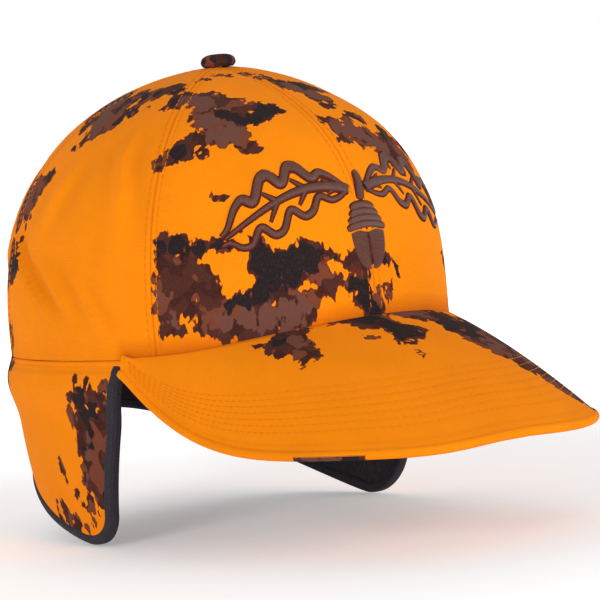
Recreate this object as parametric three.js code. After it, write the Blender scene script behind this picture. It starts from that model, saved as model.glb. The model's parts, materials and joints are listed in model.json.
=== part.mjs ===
// Six-panel peaked winter cap with a fold-down ear and neck flap.
//
// Millimetres, +Z up. The origin is the centre of the crown's hem plane, where the wearer's head
// enters. -Y is the front, with the peak, and -X is the wearer's right.
// Angles around the crown are in degrees from the centre front towards the wearer's right.

import * as THREE from 'three';
import { toCreasedNormals } from 'three/addons/utils/BufferGeometryUtils.js';

// ---- Crown ----
const CROWN_HALF_LENGTH = 107;
const CROWN_HALF_WIDTH = 88;
const CROWN_HEIGHT = 119;
const CROWN_PLAN_POWER = 2.15; // plan outline, 2 is an ellipse
const CROWN_TOP_POWER = 3.0; // how flat the top is
const FRONT_FULLNESS = 1.32; // how full the profile is in each direction, 2 is round
const SIDE_FULLNESS = 1.71;
const BACK_FULLNESS = 2.2;
const APEX_FORWARD = 12; // how far the button sits in front of the centre
const FRONT_ARCH_RISE = 9; // the front hem rises over the peak
const PANEL_COUNT = 6;
const PANEL_COLUMNS = 6; // facets across one panel
const CROWN_ROWS = 10; // facets from hem to apex
const APEX_HOLE_RADIUS = 5;

// ---- Layers of the crown, from the outside in ----
const PLY_GAP = 0.3;
const SHELL_THICKNESS = 1.2;
const BUCKRAM_THICKNESS = 0.8;
const LINING_THICKNESS = 2.0;
const SWEATBAND_THICKNESS = 1.5;
const SWEATBAND_HEIGHT = 31;
const SWEATBAND_RAISE = 1.5; // how far its lower rim sits above the hem
const BUCKRAM_ROWS = 6; // the stiffener stops below the crown's shoulder
const SEAM_GAP = 0.3;

// ---- Hem band between the crown and the flap ----
const PEAK_END_ANGLE = 69; // the peak ends here and the hem band starts
const BAND_HEIGHT = 4.3;
const BAND_PROUD = 0.9;
const BAND_DEPTH = 4.4;
const BAND_COLUMNS = 24;

// ---- Crown button ----
const BUTTON_RADIUS = 7.6;
const BUTTON_RISE = 5.2;
const BUTTON_BACKING_RADIUS = 7;
const BUTTON_BACKING_THICKNESS = 1.2;
const RIVET_RADIUS = 1.6;
const RIVET_CLEARANCE = 0.3;
const ROUND_SEGMENTS = 24;

// ---- Peak ----
const PEAK_PROJECTION = 80;
const PEAK_HALF_WIDTH = 88;
const PEAK_OUTLINE_POWER = 4; // how square its front corners are
const PEAK_PITCH = 0.57; // how far it drops for each millimetre forward
const PEAK_SIDE_PITCH = 0.88; // extra drop at its sides
const PEAK_SIDE_POWER = 4;
const PEAK_ARCH = 3.5; // how far its middle is bowed up between crown and edge
const PEAK_BOARD_THICKNESS = 1.8;
const PEAK_COVER_THICKNESS = 0.8;
const PEAK_ROOT_DROP = 1.0;
const PEAK_ROOT_GAP = 0.4;
const PEAK_END_DEPTH = 3.5; // how deep the peak is where it runs out at the temples
const PEAK_COLUMNS = 16;
const PEAK_ROWS = 6;

// ---- Ear and neck flap ----
const FLAP_SECTIONS = 8;
const FLAP_TOP = -6.0;
const FLAP_FRONT_CLEARANCE = 1.5; // between the flap's front edge and the end of the peak
const FLAP_EAR_DEPTH = 85;
const FLAP_NAPE_DEPTH = 34;
const FLAP_EDGE_POWER = 1.5; // how late the lower edge rises from ear to nape
const FLAP_COVER_THICKNESS = 1.2;
const FLAP_LINING_THICKNESS = 2.8;
const FLAP_TUCK = 11; // how far the lower edge pulls in towards the neck
const FLAP_TUCK_POWER = 2.2;
const FLAP_BULGE = 3.0; // outward swell just below the hem band
const FLAP_BULGE_DEPTH = 27;
const FLAP_FRONT_SLANT = 15.5; // degrees that the front edge leans back by its lower end
const FLAP_CORNER_RADIUS = 16;
const FLAP_COLUMNS = 4;
const FLAP_ROWS = 5;
const CORNER_STEPS = 3;
const BINDING_WIDTH = 5.5;
const BINDING_PROUD = 0.5;

// ---- Raised sprig on the front ----
const SPRIG_LIFT = 0.4;
const SPRIG_THICKNESS = 1.1;
const LEAF_LENGTH = 65;
const LEAF_HALF_WIDTH = 14;
const LEAF_LOBES = 4;
const LEAF_LOBE_DEPTH = 0.3;
const LEAF_RISE = 63; // height of each leaf's stalk above the hem
const LEAF_TILT = -12; // degrees, tips lower than stalks
const LEAF_START = 5; // from the front seam to the stalk
const ACORN_LENGTH = 28;
const ACORN_HALF_WIDTH = 8.5;
const ACORN_TOP = 58;

const GIRTH_RADIUS = (CROWN_HALF_LENGTH + CROWN_HALF_WIDTH) / 2;
const FLAP_THICKNESS = FLAP_COVER_THICKNESS + PLY_GAP + FLAP_LINING_THICKNESS;

const radians = THREE.MathUtils.degToRad;
const lerp = THREE.MathUtils.lerp;
const cap = new THREE.Group();

function signedPower(value, power) {
  return Math.sign(value) * Math.abs(value) ** power;
}

// ---- Surfaces that the pieces follow ----

// Height of the crown's hem at an angle: a cosine arch over the peak, flat elsewhere.
function hemHeight(angle) {
  const turned = Math.abs(((angle + 540) % 360) - 180);
  if (turned >= PEAK_END_ANGLE) return 0;
  return FRONT_ARCH_RISE * 0.5 * (1 + Math.cos((Math.PI * turned) / PEAK_END_ANGLE));
}

function fullness(angle) {
  const forward = Math.cos(radians(angle));
  const end = forward > 0 ? FRONT_FULLNESS : BACK_FULLNESS;
  return lerp(SIDE_FULLNESS, end, forward * forward);
}

// A point on the plan outline, scaled about the centre and moved inwards.
function planPoint(angle, inset, scale, height) {
  const a = radians(angle);
  const power = 2 / CROWN_PLAN_POWER;
  return new THREE.Vector3(
    -(CROWN_HALF_WIDTH - inset) * signedPower(Math.sin(a), power) * scale,
    -(CROWN_HALF_LENGTH - inset) * signedPower(Math.cos(a), power) * scale,
    height,
  );
}

// A point on the crown: rise runs from 0 at the hem to 90 degrees at the apex.
function crownPoint(angle, rise, inset) {
  const r = Math.cos(radians(rise)) ** (2 / fullness(angle));
  const z = Math.sin(radians(rise)) ** (2 / CROWN_TOP_POWER);
  const hem = hemHeight(angle);
  const point = planPoint(angle, inset, r, lerp(hem, CROWN_HEIGHT - inset, z));
  point.y -= APEX_FORWARD * z * z;
  return point;
}

// The rise at which the crown has closed in to the hole under the button.
function apexRise(angle, inset) {
  const r = APEX_HOLE_RADIUS / (GIRTH_RADIUS - inset);
  return THREE.MathUtils.radToDeg(Math.acos(r ** (fullness(angle) / 2)));
}

// The rise at which a layer of the crown is a given height above its hem.
function riseAtHeight(angle, height, inset) {
  const share = height / (CROWN_HEIGHT - inset - hemHeight(angle));
  return THREE.MathUtils.radToDeg(Math.asin(share ** (CROWN_TOP_POWER / 2)));
}

// A point on a layer's flat facets, between its rows, at a height above the hem.
function facetPoint(angle, height, inset) {
  const row = (r) => crownPoint(angle, (apexRise(angle, inset) * r) / CROWN_ROWS, inset);
  const z = hemHeight(angle) + height;
  let r = 1;
  while (r < CROWN_ROWS && row(r).z < z) r += 1;
  const lower = row(r - 1);
  const upper = row(r);
  return lower.lerp(upper, (z - lower.z) / (upper.z - lower.z));
}

// A point on the flap, below the hem: it swells out, then pulls in towards the neck.
function flapPoint(angle, z, inset) {
  const tuck = FLAP_TUCK * (-z / FLAP_EAR_DEPTH) ** FLAP_TUCK_POWER;
  const swell = FLAP_BULGE * Math.sin(Math.PI * Math.min(-z / FLAP_BULGE_DEPTH, 1));
  return planPoint(angle, inset + tuck - swell, 1, z);
}

// A point on the middle of the peak: across runs from -1 to 1 between its ends, out from 0 to 1.
function peakPoint(across, out, lift) {
  const angle = across * PEAK_END_ANGLE;
  const root = planPoint(angle, -PEAK_ROOT_GAP, 1, hemHeight(angle) - PEAK_ROOT_DROP);
  const end = planPoint(PEAK_END_ANGLE, -PEAK_END_DEPTH, 1, 0);
  const front = CROWN_HALF_LENGTH + PEAK_PROJECTION;
  const share = Math.abs(end.x) / PEAK_HALF_WIDTH;
  const back = (1 - share ** PEAK_OUTLINE_POWER) ** (1 / PEAK_OUTLINE_POWER);
  const middle = (-end.y - back * front) / (1 - back);
  const turn = across * Math.asin(share ** (PEAK_OUTLINE_POWER / 2));
  const power = 2 / PEAK_OUTLINE_POWER;
  const edge = new THREE.Vector3(
    -PEAK_HALF_WIDTH * signedPower(Math.sin(turn), power),
    -(middle + (front - middle) * Math.cos(turn) ** power),
    0,
  );
  const length = Math.hypot(edge.x - root.x, edge.y - root.y);
  const pitch = PEAK_PITCH + PEAK_SIDE_PITCH * Math.abs(across) ** PEAK_SIDE_POWER;
  edge.z = root.z - length * pitch;
  const point = root.lerp(edge, out);
  point.z += lift + PEAK_ARCH * 4 * out * (1 - out);
  return point;
}

// ---- Closed solids from grids of points ----

// A closed shell between two grids of the same size: outer and inner are functions of (column, row).
// A ring's last column is its first one again.
function shell(outer, inner, columns, rows, ring = false) {
  const positions = [];
  const index = [];
  const across = ring ? columns : columns + 1;
  const side = across * (rows + 1);
  for (const surface of [outer, inner]) {
    for (let c = 0; c < across; c += 1) {
      for (let r = 0; r <= rows; r += 1) positions.push(...surface(c, r).toArray());
    }
  }
  const at = (c, r, layer) => layer * side + (c % across) * (rows + 1) + r;
  const quad = (a, b, c, d) => index.push(a, b, c, a, c, d);
  for (let c = 0; c < columns; c += 1) {
    for (let r = 0; r < rows; r += 1) {
      quad(at(c, r, 0), at(c + 1, r, 0), at(c + 1, r + 1, 0), at(c, r + 1, 0));
      quad(at(c, r, 1), at(c, r + 1, 1), at(c + 1, r + 1, 1), at(c + 1, r, 1));
    }
    quad(at(c, 0, 0), at(c, 0, 1), at(c + 1, 0, 1), at(c + 1, 0, 0));
    quad(at(c, rows, 0), at(c + 1, rows, 0), at(c + 1, rows, 1), at(c, rows, 1));
  }
  if (!ring) {
    for (let r = 0; r < rows; r += 1) {
      quad(at(0, r, 0), at(0, r + 1, 0), at(0, r + 1, 1), at(0, r, 1));
      quad(at(columns, r, 0), at(columns, r, 1), at(columns, r + 1, 1), at(columns, r + 1, 0));
    }
  }
  return solidGeometry(positions, index);
}

// Turns the faces outwards if the enclosed volume came out negative.
function solidGeometry(positions, index) {
  let volume = 0;
  const corner = (i) => new THREE.Vector3().fromArray(positions, index[i] * 3);
  for (let i = 0; i < index.length; i += 3) {
    volume += corner(i).dot(corner(i + 1).cross(corner(i + 2)));
  }
  if (volume < 0) index.reverse();
  const geometry = new THREE.BufferGeometry();
  geometry.setAttribute('position', new THREE.Float32BufferAttribute(positions, 3));
  geometry.setIndex(index);
  return geometry;
}

function finish(color, roughness) {
  return new THREE.MeshStandardMaterial({ color, roughness, metalness: 0 });
}

function addPiece(name, geometry, material) {
  const mesh = new THREE.Mesh(geometry, material);
  mesh.name = name;
  cap.add(mesh);
  return mesh;
}

// ---- Crown ----

// One panel of a crown layer: its side edges stop half a seam gap short of the seams.
function crownPanel(firstAngle, outerInset, thickness, rows) {
  const step = 360 / PANEL_COUNT / PANEL_COLUMNS;
  const layer = (inset) => (c, r) => {
    const angle = firstAngle + c * step;
    const rise = (apexRise(angle, inset) * r) / CROWN_ROWS;
    const point = crownPoint(angle, rise, inset);
    const along = new THREE.Vector3(-Math.cos(radians(angle)), Math.sin(radians(angle)), 0);
    if (c === 0) point.addScaledVector(along, SEAM_GAP / 2);
    if (c === PANEL_COLUMNS) point.addScaledVector(along, -SEAM_GAP / 2);
    return point;
  };
  return shell(layer(outerInset), layer(outerInset + thickness), PANEL_COLUMNS, rows);
}

const PANEL_NAMES = ['front_right', 'side_right', 'back_right', 'back_left', 'side_left', 'front_left'];

function makeCrownShell() {
  const twill = finish(0xf08a17, 0.92);
  PANEL_NAMES.forEach((name, i) => {
    const start = (i * 360) / PANEL_COUNT;
    addPiece(`panel_${name}`, crownPanel(start, 0, SHELL_THICKNESS, CROWN_ROWS), twill.clone());
  });
}

function makeBuckram() {
  const inset = SHELL_THICKNESS + PLY_GAP;
  const mesh = finish(0xd8d2c4, 0.95);
  for (const i of [0, PANEL_COUNT - 1]) {
    const start = (i * 360) / PANEL_COUNT;
    const geometry = crownPanel(start, inset, BUCKRAM_THICKNESS, BUCKRAM_ROWS);
    addPiece(`buckram_${PANEL_NAMES[i]}`, geometry, mesh.clone());
  }
}

const LINING_INSET = SHELL_THICKNESS + PLY_GAP + BUCKRAM_THICKNESS + PLY_GAP;

function makeLining() {
  const fleece = finish(0x2b2a2c, 1);
  PANEL_NAMES.forEach((name, i) => {
    const start = (i * 360) / PANEL_COUNT;
    const geometry = crownPanel(start, LINING_INSET, LINING_THICKNESS, CROWN_ROWS);
    addPiece(`lining_${name}`, geometry, fleece.clone());
  });
}

function makeSweatband() {
  const columns = PANEL_COUNT * PANEL_COLUMNS;
  const outerInset = LINING_INSET + LINING_THICKNESS + PLY_GAP;
  const layer = (inset) => (c, r) => {
    return facetPoint((c * 360) / columns, SWEATBAND_RAISE + r * SWEATBAND_HEIGHT, inset);
  };
  const geometry = shell(layer(outerInset), layer(outerInset + SWEATBAND_THICKNESS), columns, 1, true);
  addPiece('sweatband', geometry, finish(0x242326, 0.85));
}

function makeHemBand() {
  const span = 360 - 2 * PEAK_END_ANGLE;
  const layer = (inset) => (c, r) => {
    const angle = PEAK_END_ANGLE + (c * span) / BAND_COLUMNS;
    return planPoint(angle, inset, 1, -PLY_GAP - BAND_HEIGHT + r * BAND_HEIGHT);
  };
  const geometry = shell(layer(-BAND_PROUD), layer(BAND_DEPTH - BAND_PROUD), BAND_COLUMNS, 1);
  addPiece('hem_band', geometry, finish(0xee8a18, 0.92));
}

// ---- Button on the apex ----

function turned(profile) {
  const points = profile.map(([r, z]) => new THREE.Vector2(r, z));
  const geometry = new THREE.LatheGeometry(points, ROUND_SEGMENTS);
  return geometry.rotateX(Math.PI / 2);
}

function makeButton() {
  const liningTop = CROWN_HEIGHT - LINING_INSET - LINING_THICKNESS;
  const base = CROWN_HEIGHT + PLY_GAP;
  const dome = [[0, 0], [BUTTON_RADIUS, 0], [BUTTON_RADIUS, BUTTON_RISE * 0.3]];
  for (const turn of [25, 50, 75]) {
    const a = radians(turn);
    dome.push([BUTTON_RADIUS * Math.cos(a), BUTTON_RISE * (0.3 + 0.7 * Math.sin(a))]);
  }
  dome.push([0, BUTTON_RISE]);
  const button = addPiece('crown_button', turned(dome), finish(0x4a2421, 0.9));
  button.position.set(0, -APEX_FORWARD, base);

  const length = base - liningTop - 2 * RIVET_CLEARANCE;
  const post = [[0, 0], [RIVET_RADIUS, 0], [RIVET_RADIUS, length], [0, length]];
  const rivet = addPiece('button_rivet', turned(post), finish(0xa8a8a8, 0.4));
  rivet.position.set(0, -APEX_FORWARD, base - RIVET_CLEARANCE - length);

  const disc = [
    [0, 0],
    [BUTTON_BACKING_RADIUS, 0],
    [BUTTON_BACKING_RADIUS, BUTTON_BACKING_THICKNESS],
    [0, BUTTON_BACKING_THICKNESS],
  ];
  const backing = addPiece('button_backing', turned(disc), finish(0xa8a8a8, 0.4));
  const drop = BUTTON_BACKING_RADIUS * 0.12;
  backing.position.set(0, -APEX_FORWARD, liningTop - drop - PLY_GAP - BUTTON_BACKING_THICKNESS);
}

// ---- Peak ----

function makePeak() {
  const boardHalf = PEAK_BOARD_THICKNESS / 2;
  const coverLift = boardHalf + PLY_GAP;
  const layer = (lift) => (c, r) =>
    peakPoint((2 * c) / PEAK_COLUMNS - 1, r / PEAK_ROWS, lift);
  const plate = (low, high) => shell(layer(high), layer(low), PEAK_COLUMNS, PEAK_ROWS);
  const top = coverLift + PEAK_COVER_THICKNESS;
  addPiece('peak_board', plate(-boardHalf, boardHalf), finish(0xd9d9d4, 0.6));
  addPiece('peak_top_cover', plate(coverLift, top), finish(0xe57f0c, 0.92));
  addPiece('peak_bottom_cover', plate(-top, -coverLift), finish(0xe57f0c, 0.92));
}

// ---- Ear and neck flap ----

// Depth of the flap's lower edge, deepest over the ears and shortest at the nape.
function flapDepth(angle) {
  const share = Math.abs(angle - 180) / (180 - PEAK_END_ANGLE);
  const drop = Math.sin((Math.PI / 2) * share) ** FLAP_EDGE_POWER;
  return lerp(FLAP_NAPE_DEPTH, FLAP_EAR_DEPTH, drop);
}

// Angle of the flap's front edge on the wearer's right, at a height.
function flapFront(z) {
  const top = PEAK_END_ANGLE + FLAP_FRONT_CLEARANCE / (radians(1) * GIRTH_RADIUS);
  return top + (FLAP_FRONT_SLANT * (FLAP_TOP - z)) / FLAP_EAR_DEPTH;
}

// The lower outline of one section, as columns of [share across the section, depth], drawn in by
// trim. The front section has a rounded lower front corner.
function lowerOutline(firstAngle, lastAngle, trim, isFront) {
  const columns = [];
  if (isFront) {
    const radius = FLAP_CORNER_RADIUS - trim;
    const start = flapFront(-FLAP_EAR_DEPTH);
    const width = radians(lastAngle - start) * GIRTH_RADIUS - trim;
    for (let i = 0; i < CORNER_STEPS; i += 1) {
      const turn = radians((90 * i) / CORNER_STEPS);
      const share = (radius * (1 - Math.cos(turn))) / width;
      const angle = lerp(start, lastAngle, share);
      columns.push([share, flapDepth(angle) - trim - radius * (1 - Math.sin(turn))]);
    }
    const first = radius / width;
    for (let i = 0; i < FLAP_COLUMNS; i += 1) {
      const share = lerp(first, 1, i / (FLAP_COLUMNS - 1));
      columns.push([share, flapDepth(lerp(start, lastAngle, share)) - trim]);
    }
    return columns;
  }
  for (let i = 0; i <= FLAP_COLUMNS; i += 1) {
    const share = i / FLAP_COLUMNS;
    columns.push([share, flapDepth(lerp(firstAngle, lastAngle, share)) - trim]);
  }
  return columns;
}

// Turns a share across a section at a height into an angle. The section's sides stay half a seam
// gap clear of the next section, and its front edge is drawn in by trim.
function sectionAngle(firstAngle, lastAngle, share, z, trim, isFront) {
  const perDegree = radians(1) * GIRTH_RADIUS;
  const gap = SEAM_GAP / 2 / perDegree;
  const start = isFront ? flapFront(z) + trim / perDegree : firstAngle + gap;
  return lerp(start, lastAngle - gap, share);
}

// One section's cloth layer between two insets, on the wearer's right. Left sections are mirrored.
function flapLayer(firstAngle, lastAngle, outerInset, thickness, isFront) {
  const trim = BINDING_WIDTH + PLY_GAP;
  const outline = lowerOutline(firstAngle, lastAngle, trim, isFront);
  const layer = (inset) => (c, r) => {
    const [share, depth] = outline[c];
    const z = lerp(FLAP_TOP, -depth, r / FLAP_ROWS);
    return flapPoint(sectionAngle(firstAngle, lastAngle, share, z, trim, isFront), z, inset);
  };
  const inner = outerInset + thickness;
  return shell(layer(outerInset), layer(inner), outline.length - 1, FLAP_ROWS);
}

// The binding: a strip along the lower edge, and along the front edge of the front section.
function flapBinding(firstAngle, lastAngle, isFront) {
  const paths = [0, BINDING_WIDTH].map((trim) => {
    const lower = lowerOutline(firstAngle, lastAngle, trim, isFront);
    const path = lower.map(([share, depth]) => [share, -depth]);
    if (!isFront) return path;
    const front = [];
    for (let i = 0; i < FLAP_ROWS; i += 1) front.push([0, lerp(FLAP_TOP, path[0][1], i / FLAP_ROWS)]);
    return front.concat(path);
  });
  const layer = (inset) => (c, r) => {
    const [share, z] = paths[r][c];
    const trim = r * BINDING_WIDTH;
    return flapPoint(sectionAngle(firstAngle, lastAngle, share, z, trim, isFront), z, inset);
  };
  const outer = layer(-BINDING_PROUD);
  const inner = layer(FLAP_THICKNESS + BINDING_PROUD);
  return shell(outer, inner, paths[0].length - 1, 1);
}

// Mirrors a geometry across the YZ plane, keeping its faces outwards.
function mirrored(geometry) {
  const copy = geometry.clone().scale(-1, 1, 1);
  copy.getIndex().array.reverse();
  return copy;
}

function makeFlap() {
  const half = FLAP_SECTIONS / 2;
  const span = (180 - PEAK_END_ANGLE) / half;
  const cloth = finish(0xeb870d, 0.92);
  const fleece = finish(0x2b2a2c, 1);
  const elastic = finish(0x232226, 0.8);
  for (let i = 0; i < half; i += 1) {
    const first = PEAK_END_ANGLE + i * span;
    const isFront = i === 0;
    const liningInset = FLAP_COVER_THICKNESS + PLY_GAP;
    const cover = flapLayer(first, first + span, 0, FLAP_COVER_THICKNESS, isFront);
    const lining = flapLayer(first, first + span, liningInset, FLAP_LINING_THICKNESS, isFront);
    const binding = flapBinding(first, first + span, isFront);
    for (const [number, place] of [[i + 1, (g) => g], [FLAP_SECTIONS - i, mirrored]]) {
      addPiece(`flap_cover_${number}`, place(cover), cloth.clone());
      addPiece(`flap_lining_${number}`, place(lining), fleece.clone());
      addPiece(`flap_binding_${number}`, place(binding), elastic.clone());
    }
  }
}

// ---- Raised sprig on the front ----

// Wraps a flat point on the front: across is millimetres towards the wearer's right.
function onFront(across, up, lift) {
  const angle = THREE.MathUtils.radToDeg(across / GIRTH_RADIUS);
  return crownPoint(angle, riseAtHeight(angle, up - hemHeight(angle), -lift), -lift);
}

// A flat motif with a middle line from a start, a length, a tilt and a half width along it.
function motif(start, length, tilt, side, halfWidth, columns, rows) {
  const a = radians(tilt);
  const layer = (lift) => (c, r) => {
    const along = (length * c) / columns;
    const out = halfWidth(c / columns) * ((2 * r) / rows - 1);
    const x = start[0] + along * Math.cos(a) - out * Math.sin(a);
    const y = start[1] + along * Math.sin(a) + out * Math.cos(a);
    return onFront(side * x, y, lift);
  };
  return shell(layer(SPRIG_LIFT + SPRIG_THICKNESS), layer(SPRIG_LIFT), columns, rows);
}

function makeSprig() {
  const satin = finish(0x5b3a2c, 0.55);
  const leafWidth = (s) => {
    const lobes = 1 - LEAF_LOBE_DEPTH * (0.5 + 0.5 * Math.cos(2 * Math.PI * LEAF_LOBES * s));
    return LEAF_HALF_WIDTH * Math.sin(Math.PI * (0.06 + 0.9 * s ** 0.8)) * lobes;
  };
  const acornWidth = (s) => ACORN_HALF_WIDTH * Math.sqrt(Math.max(0.04, 1 - (1.9 * s - 0.9) ** 2));
  const stalk = [LEAF_START, LEAF_RISE];
  for (const [name, side] of [['right', 1], ['left', -1]]) {
    const leaf = motif(stalk, LEAF_LENGTH, LEAF_TILT, side, leafWidth, 18, 4);
    addPiece(`sprig_leaf_${name}`, leaf, satin.clone());
  }
  const acorn = motif([0, ACORN_TOP], ACORN_LENGTH, -90, 1, acornWidth, 8, 4);
  addPiece('sprig_acorn', acorn, satin.clone());
}

makeCrownShell();
makeBuckram();
makeLining();
makeSweatband();
makeHemBand();
makeButton();
makePeak();
makeFlap();
makeSprig();

for (const piece of cap.children) {
  piece.geometry = toCreasedNormals(piece.geometry, radians(30));
}

export default cap;
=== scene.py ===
"""Winter cap in printed blaze-orange twill, with a curved peak and a fold-down ear and neck flap.

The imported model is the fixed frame. Every cloth piece here stands for a plain solid of that frame.
Shapes are worked out in millimetres, in the frame's axes: +Z up, -Y front, -X the wearer's right.
Angles run in degrees from the centre front towards the wearer's right.
"""

import json
import math

import bpy
import numpy as np
from mathutils import Matrix, Vector


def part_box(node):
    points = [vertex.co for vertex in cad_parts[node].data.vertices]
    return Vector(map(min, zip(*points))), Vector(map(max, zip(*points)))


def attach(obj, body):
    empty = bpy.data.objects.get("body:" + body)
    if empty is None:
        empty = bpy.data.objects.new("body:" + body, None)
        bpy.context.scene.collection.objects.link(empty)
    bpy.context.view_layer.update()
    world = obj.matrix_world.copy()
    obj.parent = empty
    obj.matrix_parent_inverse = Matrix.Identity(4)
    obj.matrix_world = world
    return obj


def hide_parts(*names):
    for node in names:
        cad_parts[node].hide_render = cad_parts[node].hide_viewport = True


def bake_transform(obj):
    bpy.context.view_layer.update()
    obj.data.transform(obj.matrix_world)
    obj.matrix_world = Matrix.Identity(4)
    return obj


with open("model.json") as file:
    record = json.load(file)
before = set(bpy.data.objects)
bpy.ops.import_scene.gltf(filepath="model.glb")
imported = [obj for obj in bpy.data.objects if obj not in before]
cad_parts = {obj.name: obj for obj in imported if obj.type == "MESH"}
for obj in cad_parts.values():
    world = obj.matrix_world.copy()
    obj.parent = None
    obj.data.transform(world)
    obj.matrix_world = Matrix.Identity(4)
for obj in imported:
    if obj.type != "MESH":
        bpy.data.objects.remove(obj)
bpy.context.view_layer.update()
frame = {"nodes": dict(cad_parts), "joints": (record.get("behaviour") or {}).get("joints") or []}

bl_info = {
    "name": "Winter Cap",
    "version": (1, 0, 0),
    "blender": (4, 5, 0),
    "location": "3D View > Sidebar > Winter Cap",
    "description": "Builds a panelled winter cap with a fold-down ear and neck flap",
    "category": "Object",
}

MM = 0.001


def box_mm(node):
    """Lowest and highest corners of a frame node, in millimetres."""
    low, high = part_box(node)
    return np.array(low) / MM, np.array(high) / MM


# ---- Sizes that the frame gives ----

PLY_GAP = 0.3
HALF_WIDTH = box_mm("panel_side_left")[1][0]
HALF_LENGTH = box_mm("panel_back_left")[1][1]
HEIGHT = box_mm("crown_button")[0][2] - PLY_GAP
BUTTON_LOW, BUTTON_HIGH = box_mm("crown_button")
BAND_LOW, BAND_HIGH = box_mm("hem_band")
PEAK_FRONT = -box_mm("peak_board")[0][1]
PEAK_REACH = PEAK_FRONT - HALF_LENGTH
PEAK_HALF_WIDTH = 88.0
GIRTH_RADIUS = (HALF_LENGTH + HALF_WIDTH) / 2
SECTIONS = len(frame["joints"])

# ---- Shape of the crown, peak and flap, the same as the frame's ----

PLAN_POWER = 2.15
TOP_POWER = 3.0
FRONT_FULLNESS = 1.32
SIDE_FULLNESS = 1.71
BACK_FULLNESS = 2.2
APEX_FORWARD = 12.0
ARCH_RISE = 9.0
APEX_HOLE = 5.0
PANELS = 6
PANEL_STEP = 360 / PANELS
PEAK_END = 69.0
PEAK_OUTLINE_POWER = 4.0
PEAK_PITCH = 0.57
PEAK_SIDE_PITCH = 0.88
PEAK_SIDE_POWER = 4.0
PEAK_ARCH = 3.5
PEAK_ROOT_DROP = 1.0
PEAK_ROOT_GAP = 0.4
PEAK_ROOT_TUCK = 0.5
PEAK_END_DEPTH = 3.5
PEAK_HALF_STACK = 2.0
PEAK_COVER = 0.8
PEAK_RIM_SEAM = 3.4
PEAK_UNEVEN = (14.0, 41)
PEAK_FACES = (("top", 1), ("bottom", -1))
SHELL = 1.2
BUCKRAM_INSET = SHELL + PLY_GAP
BUCKRAM = 0.8
LINING_INSET = BUCKRAM_INSET + BUCKRAM + PLY_GAP
LINING = 2.0
SWEATBAND_INSET = LINING_INSET + LINING + PLY_GAP
SWEATBAND = 1.5
SWEATBAND_RAISE = 1.5
SWEATBAND_HEIGHT = 31.0
FLAP_TOP = -6.0
FLAP_EAR_DEPTH = 85.0
FLAP_NAPE_DEPTH = 34.0
FLAP_EDGE_POWER = 1.5
FLAP_TUCK = 11.0
FLAP_TUCK_POWER = 2.2
FLAP_BULGE = 3.0
FLAP_BULGE_DEPTH = 27.0
FLAP_SLANT = 15.5
FLAP_FRONT_CLEARANCE = 1.5
FLAP_CORNER = 16.0
FLAP_LINING_INSET = 1.5
FLAP_LINING = 2.8
FLAP_CLOTH_TOP = -2.5
BINDING_WIDTH = 5.5
BINDING_PROUD = 0.5
BINDING_OVERLAP = 1.2
BINDING_TOP = -1.4
SOLID_PRINT = 8.0
BUTTON_PRINT = 4.0
NO_PRINT = -6.0
STITCH_GAP = 0.22
STITCH_SIDES = 6
CROWN_MIDDLE = (0, 0, 45)
FLAP_MIDDLE = (0, 0, -30)
LEAF_LENGTH = 66.0
LEAF_HALF_WIDTH = 13.0
LEAF_RISE = 62.0
LEAF_TILT = -12.0
LEAF_START = 4.5
LEAF_VEINS = (0.07, 0.31, 0.55)
ACORN_TOP = 57.0
CUP_ROWS = 4
SPRIG_BORDER = 1.3
SPRIG_BORDER_HEIGHT = 0.35

PANEL_NAMES = ("front_right", "side_right", "back_right", "back_left", "side_left", "front_left")

# ---- Printed blotches: (angle, height, radius) on the crown and flap, (x, y, radius) on the peak ----

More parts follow.
